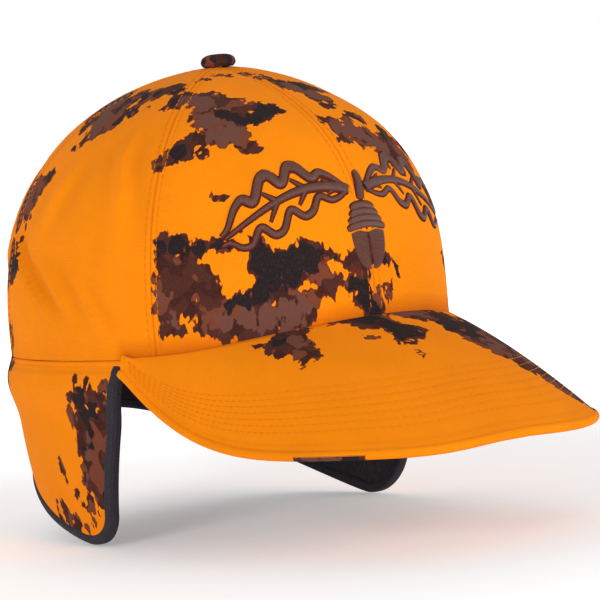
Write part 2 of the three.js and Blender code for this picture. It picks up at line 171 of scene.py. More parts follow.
CROWN_BLOTCHES = (
    (68, 103, 3), (63, 105, 4.5), (57, 106, 5), (50, 105, 6), (43, 104, 6), (37, 103, 5),
    (31, 101, 4), (25, 100, 4), (19, 99, 5), (47, 99, 6), (40, 97, 7), (45, 93, 5), (38, 92, 6),
    (33, 95, 6), (27, 95, 5), (21, 97, 5), (16, 97, 4), (12, 97, 2.5), (45, 88, 5), (50, 87, 4.5),
    (53, 84, 5), (57, 82, 3.5), (60, 80, 2.5), (46, 82, 2.5), (39, 88, 4), (33, 88, 4.5),
    (30, 84, 3.5), (27, 82, 2), (70, 109, 3), (78, 110, 5), (88, 109, 6), (100, 108, 7),
    (88, 103, 5), (92, 99, 6), (98, 97, 6), (98, 102, 8), (104, 99, 6), (101, 92, 3),
    (104, 90, 2.5), (110, 105, 8), (120, 108, 8), (135, 109, 8), (115, 100, 5), (125, 104, 6),
    (108, 79, 4), (109, 75, 4.5), (114, 74, 6), (112, 69, 5), (118, 68, 6), (115, 64, 5),
    (120, 60, 5), (112, 62, 3), (109, 61, 1.6), (111, 56, 1.5), (126, 72, 9), (128, 62, 7),
    (112, 48, 4), (112, 44, 5), (114, 40, 5), (117, 35, 4), (121, 44, 8), (124, 35, 6),
    (119, 14, 2.5), (118, 9, 2.5), (118, 4, 3), (123, 2, 4),
    (42, 64, 1.6), (39, 64, 1.2), (35, 49, 1.2),
    (56, 46, 5), (52, 45, 5), (47, 44, 3.5), (42, 44, 3.5), (38, 43, 2.5), (55, 38, 6),
    (50, 37, 6), (46, 33, 5), (55, 31, 6), (50, 29, 6), (44, 31, 3), (46, 26, 5), (43, 23, 4),
    (54, 24, 6), (49, 22, 6), (45, 20, 5), (60, 33, 2), (59, 28, 3), (58, 22, 3), (55, 17, 4),
    (52, 19, 3), (53, 11, 3), (57, 9, 2), (45, 14, 6), (40, 14, 6), (35, 15, 6), (30, 14, 6),
    (25, 13, 6), (20, 14, 6), (17, 17, 4), (23, 19, 5), (42, 8, 4), (36, 9, 5), (30, 8, 4),
    (24, 8, 4), (31, 45, 2.5), (31, 41, 4), (30, 36, 6), (26, 34, 6), (22, 36, 5), (19, 38, 4.5),
    (15, 37, 4), (12, 36, 3), (22, 31, 6), (16, 33, 5), (28, 28, 6), (24, 25, 5), (32, 24, 4),
    (36, 22, 4), (39, 20, 3), (30, 21, 4), (18, 28, 4), (14, 27, 5), (11, 26, 3), (13, 21, 2.5),
    (9, 34, 2.5), (6, 34, 3), (4, 31, 2), (6, 24, 4), (3, 25, 4), (3, 19, 5), (1, 13, 5.5),
    (0, 9, 5), (-2, 20, 3), (3, 30, 3), (-1, 33, 2), (-4, 31, 3), (-7, 28, 2.5),
    (-2, 114, 3.5), (-9, 112, 4), (-14, 109, 5), (-22, 108, 5), (-14, 106, 4), (-20, 105, 5),
    (-15, 102, 4), (-22, 101, 5), (-15, 98, 2.5), (-32, 106, 6), (-4, 91, 2.5), (-8, 90, 4),
    (-6, 86, 3), (-5, 82, 3), (-10, 86, 5), (-14, 88, 5), (-18, 91, 4), (-24, 92, 4),
    (-15, 82, 5), (-12, 80, 3), (-20, 83, 6), (-20, 77, 5), (-26, 80, 6), (-27, 74, 5),
    (-33, 72, 6), (-33, 81, 7), (-22, 73, 2.5), (-42, 77, 6), (-17, 70, 1.2), (-24, 66, 2.5),
    (-38, 27, 3), (-45, 18, 5), (-44, 9, 4), (-52, 40, 7), (-58, 48, 6),
    (58, 113, 1.5), (50, 113, 1.2), (42, 115, 2), (30, 114, 2), (80, 105, 1), (72, 112, 2),
)
CROWN_GAPS = (
    (59, 98, 5), (64, 99, 4), (55, 94, 4), (58, 89, 4), (51, 17, 1.6), (50, 12, 2.4),
    (40, 38, 4), (38, 33, 5), (39, 27, 4), (41, 24, 2), (19, 23, 3), (36, 38, 2), (27, 43, 3),
    (110, 92, 4), (45, 77, 3), (10, 30, 2), (9, 16, 4),
)
CROWN_BLACK = (
    (43, 100, 2), (38, 98, 2.5), (33, 95, 3.5), (29, 94, 4), (25, 95, 4), (21, 97, 5),
    (19, 99, 4), (16, 97, 4), (12, 97, 2.5), (54, 84, 3), (64, 105, 2.5), (56, 46, 4.5),
    (52, 45, 4.5), (47, 44, 3), (42, 44, 3), (38, 43, 2), (31, 45, 3), (31, 41, 4), (30, 36, 5),
    (26, 34, 6), (22, 35, 5), (19, 38, 4), (22, 31, 6), (16, 33, 4), (28, 28, 6), (24, 25, 4),
    (32, 24, 4), (36, 22, 3.5), (39, 20, 3), (30, 21, 3), (6, 24, 4), (3, 23, 3.5), (3, 18, 4),
    (1, 12, 4), (0, 8, 4), (-4, 31, 2.5), (-7, 28, 3), (9, 34, 1.5), (88, 99, 4), (86, 103, 3),
    (70, 109, 2), (90, 107, 4), (84, 110, 3), (114, 44, 5), (119, 40, 5), (-18, 110, 3), (-25, 107, 4),
    (-22, 90, 3), (-30, 84, 4), (-28, 73, 3), (-45, 18, 3),
)
CROWN_GREY = (
    (55, 105, 5), (48, 103, 5), (45, 95, 6), (38, 89, 5), (35, 90, 5), (44, 88, 4), (104, 100, 8),
    (98, 96, 4), (112, 106, 7), (40, 15, 5), (35, 16, 5), (30, 13, 6), (25, 12, 6), (20, 14, 5),
    (23, 18, 4), (-2, 18, 3), (-9, 87, 5), (-15, 85, 6), (-20, 79, 5), (-14, 107, 5),
    (-21, 102, 5), (58, 25, 3), (54, 16, 3), (112, 74, 4), (117, 66, 5),
)
FLAP_BLOTCHES = (
    (84, -8, 1.8), (80, -7, 2.2), (83, -12, 4), (79, -11, 2.5), (86, -15, 2.5), (84, -17, 4.5),
    (80, -17, 4), (77, -16, 4), (75, -12, 2.5), (76, -20, 4), (87, -22, 3), (87, -27, 4),
    (83, -24, 6), (79, -26, 6), (86, -33, 4), (82, -32, 6), (79, -34, 5), (86, -38, 4),
    (83, -40, 6), (80, -42, 5), (86, -46, 4), (83, -48, 6), (81, -50, 5), (87, -52, 3.5),
    (84, -55, 5), (83, -60, 5), (87, -62, 3.5), (90, -61, 2.5), (92, -57, 1.5), (86, -65, 2.5),
    (96, -45, 1.4), (95, -47, 1.1), (95, -51, 1.2), (100, -64, 3), (99, -69, 4), (96, -72, 4),
    (92, -74, 3), (104, -62, 1.4), (104, -66, 1.6), (103, -71, 2), (88, -69, 1.8),
    (119, -3, 2.5), (123, -5, 4), (123, -11, 3.5), (126, -16, 3), (128, -8, 5),
)
FLAP_BLACK = (
    (83, -11, 3), (80, -8, 2), (84, -16, 4), (80, -21, 4), (83, -25, 4), (83, -30, 3),
    (82, -36, 2.5), (79, -50, 3), (86, -38, 1.5), (82, -57, 2),
)
FLAP_GREY = ((87, -25, 2.5), (85, -33, 2.5), (85, -41, 3), (86, -48, 2.5), (88, -54, 2), (98, -69, 3))
PEAK_BLOTCHES = (
    (-53, -98, 2.5), (-50, -102, 5), (-44, -102, 5), (-40, -104, 4), (-50, -108, 5),
    (-45, -109, 6), (-40, -110, 4), (-48, -115, 4), (-44, -116, 4), (-48, -119, 2.5),
    (-39, -100, 3), (-34, -102, 2), (-22, -105, 2.5), (-17, -106, 3), (-12, -109, 4.5),
    (-6, -109, 5), (0, -110, 4), (-14, -113, 3), (-8, -115, 4), (-3, -118, 5), (2, -122, 4.5),
    (-2, -125, 5), (3, -128, 3), (-4, -131, 2.5), (7, -124, 2.5), (-5, -139, 1.4), (-16, -124, 1.3),
    (-8, -121, 2), (8, -107, 4), (12, -109, 4.5), (17, -111, 5), (20, -106, 6), (27, -107, 6),
    (34, -108, 7), (26, -114, 5), (32, -117, 7), (28, -123, 5), (36, -126, 8), (30, -130, 4.5),
    (35, -135, 6), (43, -132, 8), (38, -142, 6), (45, -144, 8), (42, -150, 5.5), (49, -153, 7),
    (46, -158, 5), (53, -160, 6), (51, -165, 4), (58, -166, 5), (60, -171, 3), (42, -118, 8),
    (50, -122, 8), (52, -135, 9), (60, -128, 9), (58, -146, 9), (66, -140, 8), (66, -152, 7),
    (70, -116, 9), (72, -130, 8), (62, -112, 9), (52, -108, 8), (66, -102, 8), (74, -104, 7),
    (76, -118, 7), (64, -160, 5),
)
PEAK_GAPS = ((6, -110, 1.8), (-56, -112, 3), (-30, -108, 4))
PEAK_BLACK = (
    (-10, -109, 4), (-4, -111, 4), (-3, -118, 4.5), (1, -123, 5), (-2, -126, 4), (5, -126, 3),
    (-46, -100, 2), (26, -120, 6), (32, -112, 6), (38, -118, 7), (34, -127, 5), (46, -112, 6),
    (50, -150, 3), (44, -140, 2.5), (66, -110, 7),
)
PEAK_GREY = (
    (-43, -108, 3), (20, -106, 5), (14, -110, 4), (42, -130, 6), (38, -137, 4), (52, -142, 6),
    (60, -152, 5), (48, -158, 4),
)


# ---- Adjustable sizes and colours ----


def metres(name, description, value):
    """A length property."""
    return bpy.props.FloatProperty(name=name, description=description, default=value, unit="LENGTH")


class CapSizes(bpy.types.PropertyGroup):
    """Sizes of the sewing, in metres."""

    stitch_length: metres("Stitch length", "Length of one topstitch", 0.0027)
    thread_radius: metres("Thread radius", "Radius of the topstitch thread", 0.00017)
    seam_depth: metres("Seam depth", "How far the cloth sinks at a seam", 0.0004)
    stitch_offset: metres("Stitch offset", "From a seam to its topstitch", 0.0024)
    fold_depth: metres("Fold depth", "How deep the crown's soft folds are", 0.0016)
    peak_row_spacing: metres("Peak row spacing", "Between rows of peak stitching", 0.0042)
    peak_first_row: metres("First peak row", "From the peak's edge to its first row", 0.0105)
    peak_rows: bpy.props.IntProperty(
        name="Peak rows", description="Rows of stitching on the peak", default=7, min=1, max=12
    )


def colour(name, description, value):
    """A colour property with three channels."""
    return bpy.props.FloatVectorProperty(
        name=name, description=description, subtype="COLOR", size=3, default=value, min=0.0, max=1.0
    )


class CapColours(bpy.types.PropertyGroup):
    """Colours of the cloth, print, painted crease shade and threads, as linear values."""

    orange: colour("Orange", "Ground colour of the twill", (0.93, 0.25, 0.002))
    # Painted shade: the darker orange mixed into the twill in creases, seams and fold hollows.
    crease_shade: colour("Crease", "Cloth deep in creases and seams", (0.42, 0.05, 0.002))
    outline: colour("Outline", "Thin edge around the printed blotches", (0.13, 0.018, 0.01))
    brown: colour("Brown", "Red-brown print", (0.072, 0.021, 0.015))
    rust: colour("Rust", "Warmer print", (0.17, 0.046, 0.024))
    grey: colour("Grey brown", "Paler print", (0.143, 0.054, 0.039))
    black: colour("Black", "Darkest print", (0.016, 0.011, 0.013))
    satin: colour("Satin", "Embroidery thread", (0.118, 0.041, 0.028))
    binding: colour("Binding", "Elastic edge", (0.027, 0.024, 0.032))
    lining: colour("Lining", "Fleece inside", (0.02, 0.019, 0.022))


def in_mm(key):
    """One of the sewing sizes, in millimetres."""
    return getattr(bpy.context.scene.cap_sizes, key) / MM


def colours():
    """The cloth, print and thread colours."""
    return bpy.context.scene.cap_colours


# ---- Surfaces, as whole arrays in millimetres ----


def power(value, exponent):
    """Value to a power, keeping its sign."""
    return np.sign(value) * np.abs(value) ** exponent


def bell(distance, width):
    """1 at no distance, fading on both sides as the exponential of minus the square over the width."""
    return np.exp(-((distance / width) ** 2))


def from_front(angle):
    """Degrees away from the centre front, on either side."""
    return np.abs((angle + 540) % 360 - 180)


def even_turns(count):
    """A full turn in even steps, in radians, without its last point."""
    return np.radians(np.arange(count) * 360 / count)


def corner_gap(share, width, radius):
    """How far a quarter circle's edge stands back at a share of the width."""
    gap = np.clip(radius - share * width, 0, None)
    return radius - np.sqrt(radius**2 - gap**2)


def hem_height(angle):
    """A cosine arch over the peak, flat elsewhere."""
    turned = from_front(angle)
    arch = ARCH_RISE * 0.5 * (1 + np.cos(np.pi * turned / PEAK_END))
    return np.where(turned < PEAK_END, arch, 0.0)


def fullness(angle):
    """Profile power: the side's value, mixed towards front or back by the cosine squared."""
    forward = np.cos(np.radians(angle))
    end = np.where(forward > 0, FRONT_FULLNESS, BACK_FULLNESS)
    return SIDE_FULLNESS + (end - SIDE_FULLNESS) * forward**2


def plan(angle, inset, scale, height):
    """A superellipse outline, drawn in by inset and scaled about its centre."""
    a = np.radians(angle)
    x = -(HALF_WIDTH - inset) * power(np.sin(a), 2 / PLAN_POWER) * scale
    y = -(HALF_LENGTH - inset) * power(np.cos(a), 2 / PLAN_POWER) * scale
    return np.stack(np.broadcast_arrays(x, y, height), -1)


def crown(angle, rise, inset=0.0):
    """Plan outline times cos(rise)^(2/fullness); height from hem to top by sin(rise)^(2/power)."""
    r = np.cos(np.radians(rise)) ** (2 / fullness(angle))
    z = np.sin(np.radians(rise)) ** (2 / TOP_POWER)
    hem = hem_height(angle)
    points = plan(angle, inset, r, hem + (HEIGHT - inset - hem) * z)
    points[..., 1] -= APEX_FORWARD * z * z
    return points


def rise_at(angle, height, inset=0.0):
    """Inverse of the crown's height above the frame's origin, as a rise in degrees."""
    hem = hem_height(angle)
    share = np.clip((height - hem) / (HEIGHT - inset - hem), 0.0, 1.0)
    return np.degrees(np.arcsin(share ** (TOP_POWER / 2)))


def apex_rise(angle, inset, radius=APEX_HOLE):
    """Rise at which the crown has closed in to a small radius."""
    return np.degrees(np.arccos((radius / (GIRTH_RADIUS - inset)) ** (fullness(angle) / 2)))


def flap(angle, z, inset=0.0):
    """Plan outline drawn in by a power of depth, less a smooth cosine swell below the hem."""
    tuck = FLAP_TUCK * np.clip(-z / FLAP_EAR_DEPTH, 0, None) ** FLAP_TUCK_POWER
    swell_share = np.clip(-z / FLAP_BULGE_DEPTH / 1.15, 0, 1) ** 0.72
    swell = FLAP_BULGE * (0.5 - 0.5 * np.cos(2 * np.pi * swell_share))
    return plan(angle, inset + tuck - swell, 1.0, z)


def flap_depth(angle):
    """Depth of the lower edge: from nape to ear by a power of a sine."""
    share = np.abs(angle - 180) / (180 - PEAK_END)
    drop = np.sin(np.pi / 2 * share) ** FLAP_EDGE_POWER
    return FLAP_NAPE_DEPTH + (FLAP_EAR_DEPTH - FLAP_NAPE_DEPTH) * drop


def peak(across, out, lift=0.0):
    """Straight lines from the hem's arch to a superellipse edge that is pitched down and bowed up."""
    angle = across * PEAK_END
    root = plan(angle, -PEAK_ROOT_GAP, 1.0, hem_height(angle) - PEAK_ROOT_DROP)
    end = plan(np.array(PEAK_END), -PEAK_END_DEPTH, 1.0, 0.0)
    share = abs(end[0]) / PEAK_HALF_WIDTH
    back = (1 - share**PEAK_OUTLINE_POWER) ** (1 / PEAK_OUTLINE_POWER)
    middle = (-end[1] - back * PEAK_FRONT) / (1 - back)
    turn = across * math.asin(share ** (PEAK_OUTLINE_POWER / 2))
    edge_x = -PEAK_HALF_WIDTH * power(np.sin(turn), 2 / PEAK_OUTLINE_POWER)
    edge_y = -(middle + (PEAK_FRONT - middle) * np.cos(turn) ** (2 / PEAK_OUTLINE_POWER))
    length = np.hypot(edge_x - root[..., 0], edge_y - root[..., 1])
    pitch = PEAK_PITCH + PEAK_SIDE_PITCH * np.abs(across) ** PEAK_SIDE_POWER
    x = root[..., 0] + (edge_x - root[..., 0]) * out
    y = root[..., 1] + (edge_y - root[..., 1]) * out
    z = root[..., 2] - length * pitch * out + lift + PEAK_ARCH * 4 * out * (1 - out)
    return np.stack(np.broadcast_arrays(x, y, z), -1)


def normals(grid):
    """Unit normals of a grid of points, from the cross product of its two gradients."""
    n = np.cross(np.gradient(grid, axis=0), np.gradient(grid, axis=1))
    return n / np.maximum(np.linalg.norm(n, axis=-1, keepdims=True), 1e-9)


def outward(grid, centre):
    """Unit normals turned away from a centre point."""
    n = normals(grid)
    facing = np.sign(((grid - np.asarray(centre)) * n).sum(-1, keepdims=True))
    return n * np.where(facing == 0, 1, facing)


def ripple(points, scale, seed):
    """Smooth noise in about -1 to 1: a sum of sines along seeded random directions."""
    rng = np.random.default_rng(seed)
    total = np.zeros(points.shape[:-1])
    for _ in range(7):
        direction = rng.normal(size=3)
        direction *= rng.uniform(0.6, 1.6) / np.linalg.norm(direction) / scale
        total += np.sin(points @ direction + rng.uniform(0, 2 * np.pi))
    return total / 3.5


# ---- Printed blotches ----


def torn(points):
    """Points pushed about by two sizes of smooth noise, so that round spots come out ragged."""
    pushed = points.astype(float)
    for size, reach, seed in ((3.0, 1.5, 61), (1.2, 0.8, 71)):
        shift = [ripple(points, size, seed + k) for k in range(3)]
        pushed = pushed + reach * np.stack(shift, -1)
    return pushed


def inside(points, spots):
    """How far inside the nearest of a set of balls each point is, in millimetres."""
    centres, radii = spots
    flat = points.reshape(-1, 3)
    best = np.full(len(flat), -99.0)
    for centre, radius in zip(centres, radii):
        best = np.maximum(best, radius - np.linalg.norm(flat - centre, axis=1))
    return best.reshape(points.shape[:-1])


def spots_on(place, spots):
    """Centres and radii of (a, b, radius) spots, with a and b placed on a surface by a function."""
    table = np.array(spots, float)
    return place(table[:, 0], table[:, 1]), table[:, 2]


def crown_spots(spots):
    """Spots by angle and height on the crown."""
    return spots_on(lambda angle, height: crown(angle, rise_at(angle, height)), spots)


def flap_spots(spots):
    """Spots by angle and height on the flap."""
    return spots_on(flap, spots)


def peak_spots(spots):
    """Spots by x and y on the peak, seen in plan."""
    return spots_on(lambda x, y: np.stack([x, y, 0 * x], -1), spots)


def strewn(low, high, clusters, seed, unit=(1.0, 1.0)):
    """Seeded clusters of spots: large near each middle, smaller where they are flung further out."""
    rng = np.random.default_rng(seed)
    groups = []
    for _ in range(clusters):
        middle = rng.uniform(low, high)
        turn = rng.uniform(0, np.pi)
        axes = np.array([[np.cos(turn), np.sin(turn)], [-np.sin(turn), np.cos(turn)]])
        count = rng.integers(16, 26)
        flung = rng.normal(size=(count, 2)) * (17.0, 7.5)
        radius = 9.5 - 0.2 * np.hypot(flung[:, 0], flung[:, 1]) - rng.uniform(0, 4, count)
        place = np.clip(middle + flung @ axes / np.array(unit), low, high)
        groups.append(np.column_stack([place, np.clip(radius, 1.5, 8.5)]))
    return tuple(map(tuple, np.concatenate(groups)))


def smaller(spots, first, share):
    """Every fourth spot from a first one, at a share of its radius."""
    return tuple((a, b, r * share) for a, b, r in spots[first::4])


def joined(*groups):
    """Several groups of centres and radii as one."""
    return tuple(np.concatenate(parts) for parts in zip(*groups))


DEGREE_ROUND_HEAD = (1.7, 1.0)
CROWN_BACK = strewn((140, 8), (292, 112), 13, 5, DEGREE_ROUND_HEAD)
FLAP_BACK = strewn((135, -60), (285, -4), 6, 9, DEGREE_ROUND_HEAD)
UNDER_PEAK = strewn((-70, -165), (70, -115), 6, 3)
BODY_PRINT = {
    "edge": joined(crown_spots(CROWN_BLOTCHES + CROWN_BACK), flap_spots(FLAP_BLOTCHES + FLAP_BACK)),
    "gap": crown_spots(CROWN_GAPS),
    "black": joined(
        crown_spots(CROWN_BLACK + smaller(CROWN_BACK, 0, 0.75)),
        flap_spots(FLAP_BLACK + smaller(FLAP_BACK, 0, 0.75)),
    ),
    "grey": joined(
        crown_spots(CROWN_GREY + smaller(CROWN_BACK, 2, 0.85)),
        flap_spots(FLAP_GREY + smaller(FLAP_BACK, 2, 0.85)),
    ),
}
PEAK_PRINT = {
    "edge": peak_spots(PEAK_BLOTCHES),
    "gap": peak_spots(PEAK_GAPS),
    "black": peak_spots(PEAK_BLACK),
    "grey": peak_spots(PEAK_GREY),
}
UNDER_PRINT = {
    "edge": peak_spots(UNDER_PEAK),
    "gap": peak_spots(PEAK_GAPS),
    "black": peak_spots(smaller(UNDER_PEAK, 0, 0.75)),
    "grey": peak_spots(smaller(UNDER_PEAK, 2, 0.85)),
}


def print_values(points, spots, flat=False):
    """Depth inside each kind of spot, less the gaps. Flat ones are measured in plan, as on the peak."""
    pushed = torn(points)
    if flat:
        pushed = pushed * np.array([1.0, 1.0, 0.0])
    values = {f"print_{key}": inside(pushed, spots[key]) for key in ("edge", "black", "grey")}
    values["print_edge"] = np.minimum(values["print_edge"], -inside(pushed, spots["gap"]))
    return values


# ---- Meshes ----


def quads(index):
    """The four corners of each cell of a grid of vertex numbers."""
    cells = (index[:-1, :-1], index[1:, :-1], index[1:, 1:], index[:-1, 1:])
    return np.stack(cells, -1).reshape(-1, 4)


def wall(first, second):
    """A strip of quads between two rows of vertex numbers."""
    cells = (first[:-1], second[:-1], second[1:], first[1:])
    return np.stack(cells, -1).reshape(-1, 4)


def signed_volume(points, faces):
    """Sum over triangle fans of the origin's tetrahedra."""
    total = 0.0
    for k in range(1, faces.shape[1] - 1):
        a, b, c = points[faces[:, 0]], points[faces[:, k]], points[faces[:, k + 1]]
        total += np.einsum("ij,ij->i", a, np.cross(b, c)).sum()
    return total


def make_object(name, points, faces, material, values=None, uv=None, sharp=None):
    """Mesh object from arrays in millimetres. values are point attributes; uv is per point.

    A row of faces that names a point twice is a triangle.
    """
    faces = np.asarray(faces)
    centred = points - points.mean(axis=0)
    if signed_volume(centred, faces) < 0:
        faces = faces[:, ::-1]
    rows = [list(dict.fromkeys(row)) for row in faces.tolist()]
    mesh = bpy.data.meshes.new(name)
    mesh.from_pydata((points * MM).tolist(), [], rows)
    mesh.update()
    mesh.shade_smooth()
    rest = mesh.attributes.new("rest", "FLOAT_VECTOR", "POINT")
    rest.data.foreach_set("vector", (points * MM).astype(np.float32).ravel())
    for key, value in (values or {}).items():
        layer = mesh.attributes.new(key, "FLOAT", "POINT")
        layer.data.foreach_set("value", np.asarray(value, np.float32).ravel())
    if uv is not None:
        corner = np.empty(len(mesh.loops), np.int32)
        mesh.loops.foreach_get("vertex_index", corner)
        layer = mesh.uv_layers.new(name="cloth")
        layer.data.foreach_set("uv", (uv[corner] * MM).astype(np.float32).ravel())
    if sharp is not None:
        mark_sharp(mesh, sharp)
    mesh.materials.append(material)
    return add_object(name, mesh)


def add_object(name, data):
    """A new object at the origin, linked to the scene."""
    obj = bpy.data.objects.new(name, data)
    bpy.context.scene.collection.objects.link(obj)
    return obj


def mark_sharp(mesh, rim):
    """Sharp edges wherever both ends are rim points."""
    ends = np.empty(len(mesh.edges) * 2, np.int32)
    mesh.edges.foreach_get("vertices", ends)
    ends = ends.reshape(-1, 2)
    flags = rim[ends[:, 0]] & rim[ends[:, 1]]
    layer = mesh.attributes.new("sharp_edge", "BOOLEAN", "EDGE")
    layer.data.foreach_set("value", flags)


def shell_object(name, outer, inner, material, values=None, uv=None):
    """A closed sheet between an outer and an inner grid, with sharp rims."""
    count = outer.shape[0] * outer.shape[1]
    index = np.arange(count).reshape(outer.shape[:2])
    under = index + count
    faces = [
        quads(index),
        quads(under)[:, ::-1],
        wall(under[:, 0], index[:, 0]),
        wall(index[:, -1], under[:, -1]),
        wall(index[0], under[0]),
        wall(under[-1], index[-1]),
    ]
    points = np.concatenate([outer.reshape(-1, 3), inner.reshape(-1, 3)])
    rim = np.zeros(outer.shape[:2], bool)
    rim[0, :] = rim[-1, :] = rim[:, 0] = rim[:, -1] = True
    rim = np.tile(rim.ravel(), 2)
    both = {key: np.tile(np.ravel(value), 2) for key, value in (values or {}).items()}
    if uv is None:
        uv = flat_uv(outer)
    uv = np.tile(uv.reshape(-1, 2), (2, 1))
    return make_object(name, points, np.concatenate(faces), material, both, uv, rim)


def run(points):
    """Distance covered up to each point along a row."""
    return np.r_[0, np.cumsum(np.linalg.norm(np.diff(points, axis=0), axis=1))]


def flat_uv(grid):
    """Distances along the middle row and column of a grid, as a cloth map in millimetres."""
    u = run(grid[:, grid.shape[1] // 2])
    v = run(grid[grid.shape[0] // 2])
    return np.stack(np.meshgrid(u, v, indexing="ij"), -1)


def tube_object(name, rings, material, values=None, loop=False):
    """A closed tube through rings of points. Its ends close on their own middles."""
    count, sides = rings.shape[:2]
    index = np.arange(count * sides).reshape(count, sides)
    index = np.concatenate([index, index[:, :1]], axis=1)
    points = rings.reshape(-1, 3)
    around = np.linspace(0, 1, sides, endpoint=False)
    girth = run(rings[0])[-1]
    uv = np.stack(np.meshgrid(run(rings.mean(1)), around * girth, indexing="ij"), -1).reshape(-1, 2)
    values = {key: np.ravel(value) for key, value in (values or {}).items()}
    if loop:
        index = np.concatenate([index, index[:1]])
        faces = quads(index)
    else:
        ends = np.array([rings[0].mean(0), rings[-1].mean(0)])
        first, last = len(points), len(points) + 1
        points = np.concatenate([points, ends])
        uv = np.concatenate([uv, uv[[0, -1]]])
        values = {key: np.r_[value, value[0], value[-1]] for key, value in values.items()}
        start = [(first, b, a, a) for a, b in zip(index[0, :-1], index[0, 1:])]
        stop = [(last, a, b, b) for a, b in zip(index[-1, :-1], index[-1, 1:])]
        faces = np.concatenate([quads(index), np.array(start), np.array(stop)])
    return make_object(name, points, faces, material, values, uv)


def finish_piece(obj, body, nodes=()):
    """Rides on a body, and stands for the named frame nodes."""
    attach(obj, body)
    if nodes:
        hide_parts(*nodes)


# ---- Materials ----


class Shader:
    """A material's node tree, with short calls for its nodes."""

    def __init__(self, name, base, roughness, specular=0.5, **sockets):
        self.material = bpy.data.materials.new(name)
        self.material.use_nodes = True
        self.material.diffuse_color = (*base, 1)
        self.tree = self.material.node_tree
        self.surface = self.tree.nodes["Principled BSDF"]
        self.surface.inputs["Roughness"].default_value = roughness
        self.surface.inputs["Specular IOR Level"].default_value = specular
        self.surface.inputs["Base Color"].default_value = (*base, 1)
        for key, value in sockets.items():
            self.surface.inputs[key.replace("_", " ").title()].default_value = value

    def node(self, kind, settings=None, **inputs):
        """A node with its settings and inputs. An input is named, or i and its number."""
        node = self.tree.nodes.new("ShaderNode" + kind)
        for key, value in (settings or {}).items():
            setattr(node, key, value)
        for key, value in inputs.items():
            name = key.replace("_", " ")
            socket = next((s for s in node.inputs if s.name.lower() == name.lower() and s.enabled), None)
            if socket is None:
                socket = node.inputs[int(key[1:])]
            self.set(socket, value)
        return node

    def set(self, socket, value):
        if isinstance(value, bpy.types.NodeSocket):
            self.tree.links.new(value, socket)
        elif hasattr(value, "__len__") and len(value) == 3 and socket.type == "RGBA":
            socket.default_value = (*value, 1)
        else:
            socket.default_value = value

    def math(self, operation, a, b=0.0, c=0.0):
        return self.node("Math", {"operation": operation}, i0=a, i1=b, i2=c).outputs[0]

    def mix(self, factor, a, b, blend="MIX"):
        node = self.tree.nodes.new("ShaderNodeMix")
        node.data_type = "RGBA"
        node.blend_type = blend
        self.set(node.inputs[0], factor)
        self.set(node.inputs[6], a)
        self.set(node.inputs[7], b)
        return node.outputs[2]

    def ramp(self, value, low, high, to_low=0.0, to_high=1.0):
        node = self.tree.nodes.new("ShaderNodeMapRange")
        for socket, entry in zip(node.inputs, (value, low, high, to_low, to_high)):
            self.set(socket, entry)
        return node.outputs[0]

    def attribute(self, name, output="Fac"):
        return self.node("Attribute", {"attribute_name": name}).outputs[output]

    def rest(self, stretch=(1, 1, 1)):
        vector = self.attribute("rest", "Vector")
        return self.node("Mapping", None, Vector=vector, Scale=stretch).outputs[0]

    def cloth(self, stretch=(1, 1, 1), turn=0.0):
        vector = self.node("UVMap", {"uv_map": "cloth"}).outputs[0]
        rotation = (0, 0, turn)
        return self.node("Mapping", None, Vector=vector, Scale=stretch, Rotation=rotation).outputs[0]

    def noise(self, vector, scale, detail=3.0, roughness=0.55):
        node = self.node("TexNoise", None, Vector=vector, Scale=scale, Detail=detail, Roughness=roughness)
        return node.outputs[0]

    def bands(self, vector, scale, distortion=0.0):
        """Sine bands across the cloth map's first direction; one band is 1 / (3.18 scale) wide."""
        settings = {"wave_type": "BANDS", "bands_direction": "X"}
        node = self.node("TexWave", settings, Vector=vector, Scale=scale, Distortion=distortion)
        return node.outputs["Fac"]

    def bump(self, height, strength, distance):
        node = self.node("Bump", None, Strength=strength, Distance=distance, Height=height)
        self.tree.links.new(node.outputs[0], self.surface.inputs["Normal"])

    def paint(self, value):
        self.tree.links.new(value, self.surface.inputs["Base Color"])


def shade(base, share):
    """A colour with each channel times a share."""
    return tuple(share * v for v in base)


def twill_height(s):
    """Fine diagonal twill over soft fuzz and slight slubs."""
    diagonal = s.bands(s.cloth(turn=math.radians(63)), 620, 0.6)
    yarns = s.bands(s.cloth(turn=math.radians(90)), 480, 0.4)
    fuzz = s.noise(s.rest(), 1500, 3)
    weave = s.math("MULTIPLY_ADD", diagonal, 0.5, yarns)
    return s.math("MULTIPLY_ADD", fuzz, 1.6, weave)


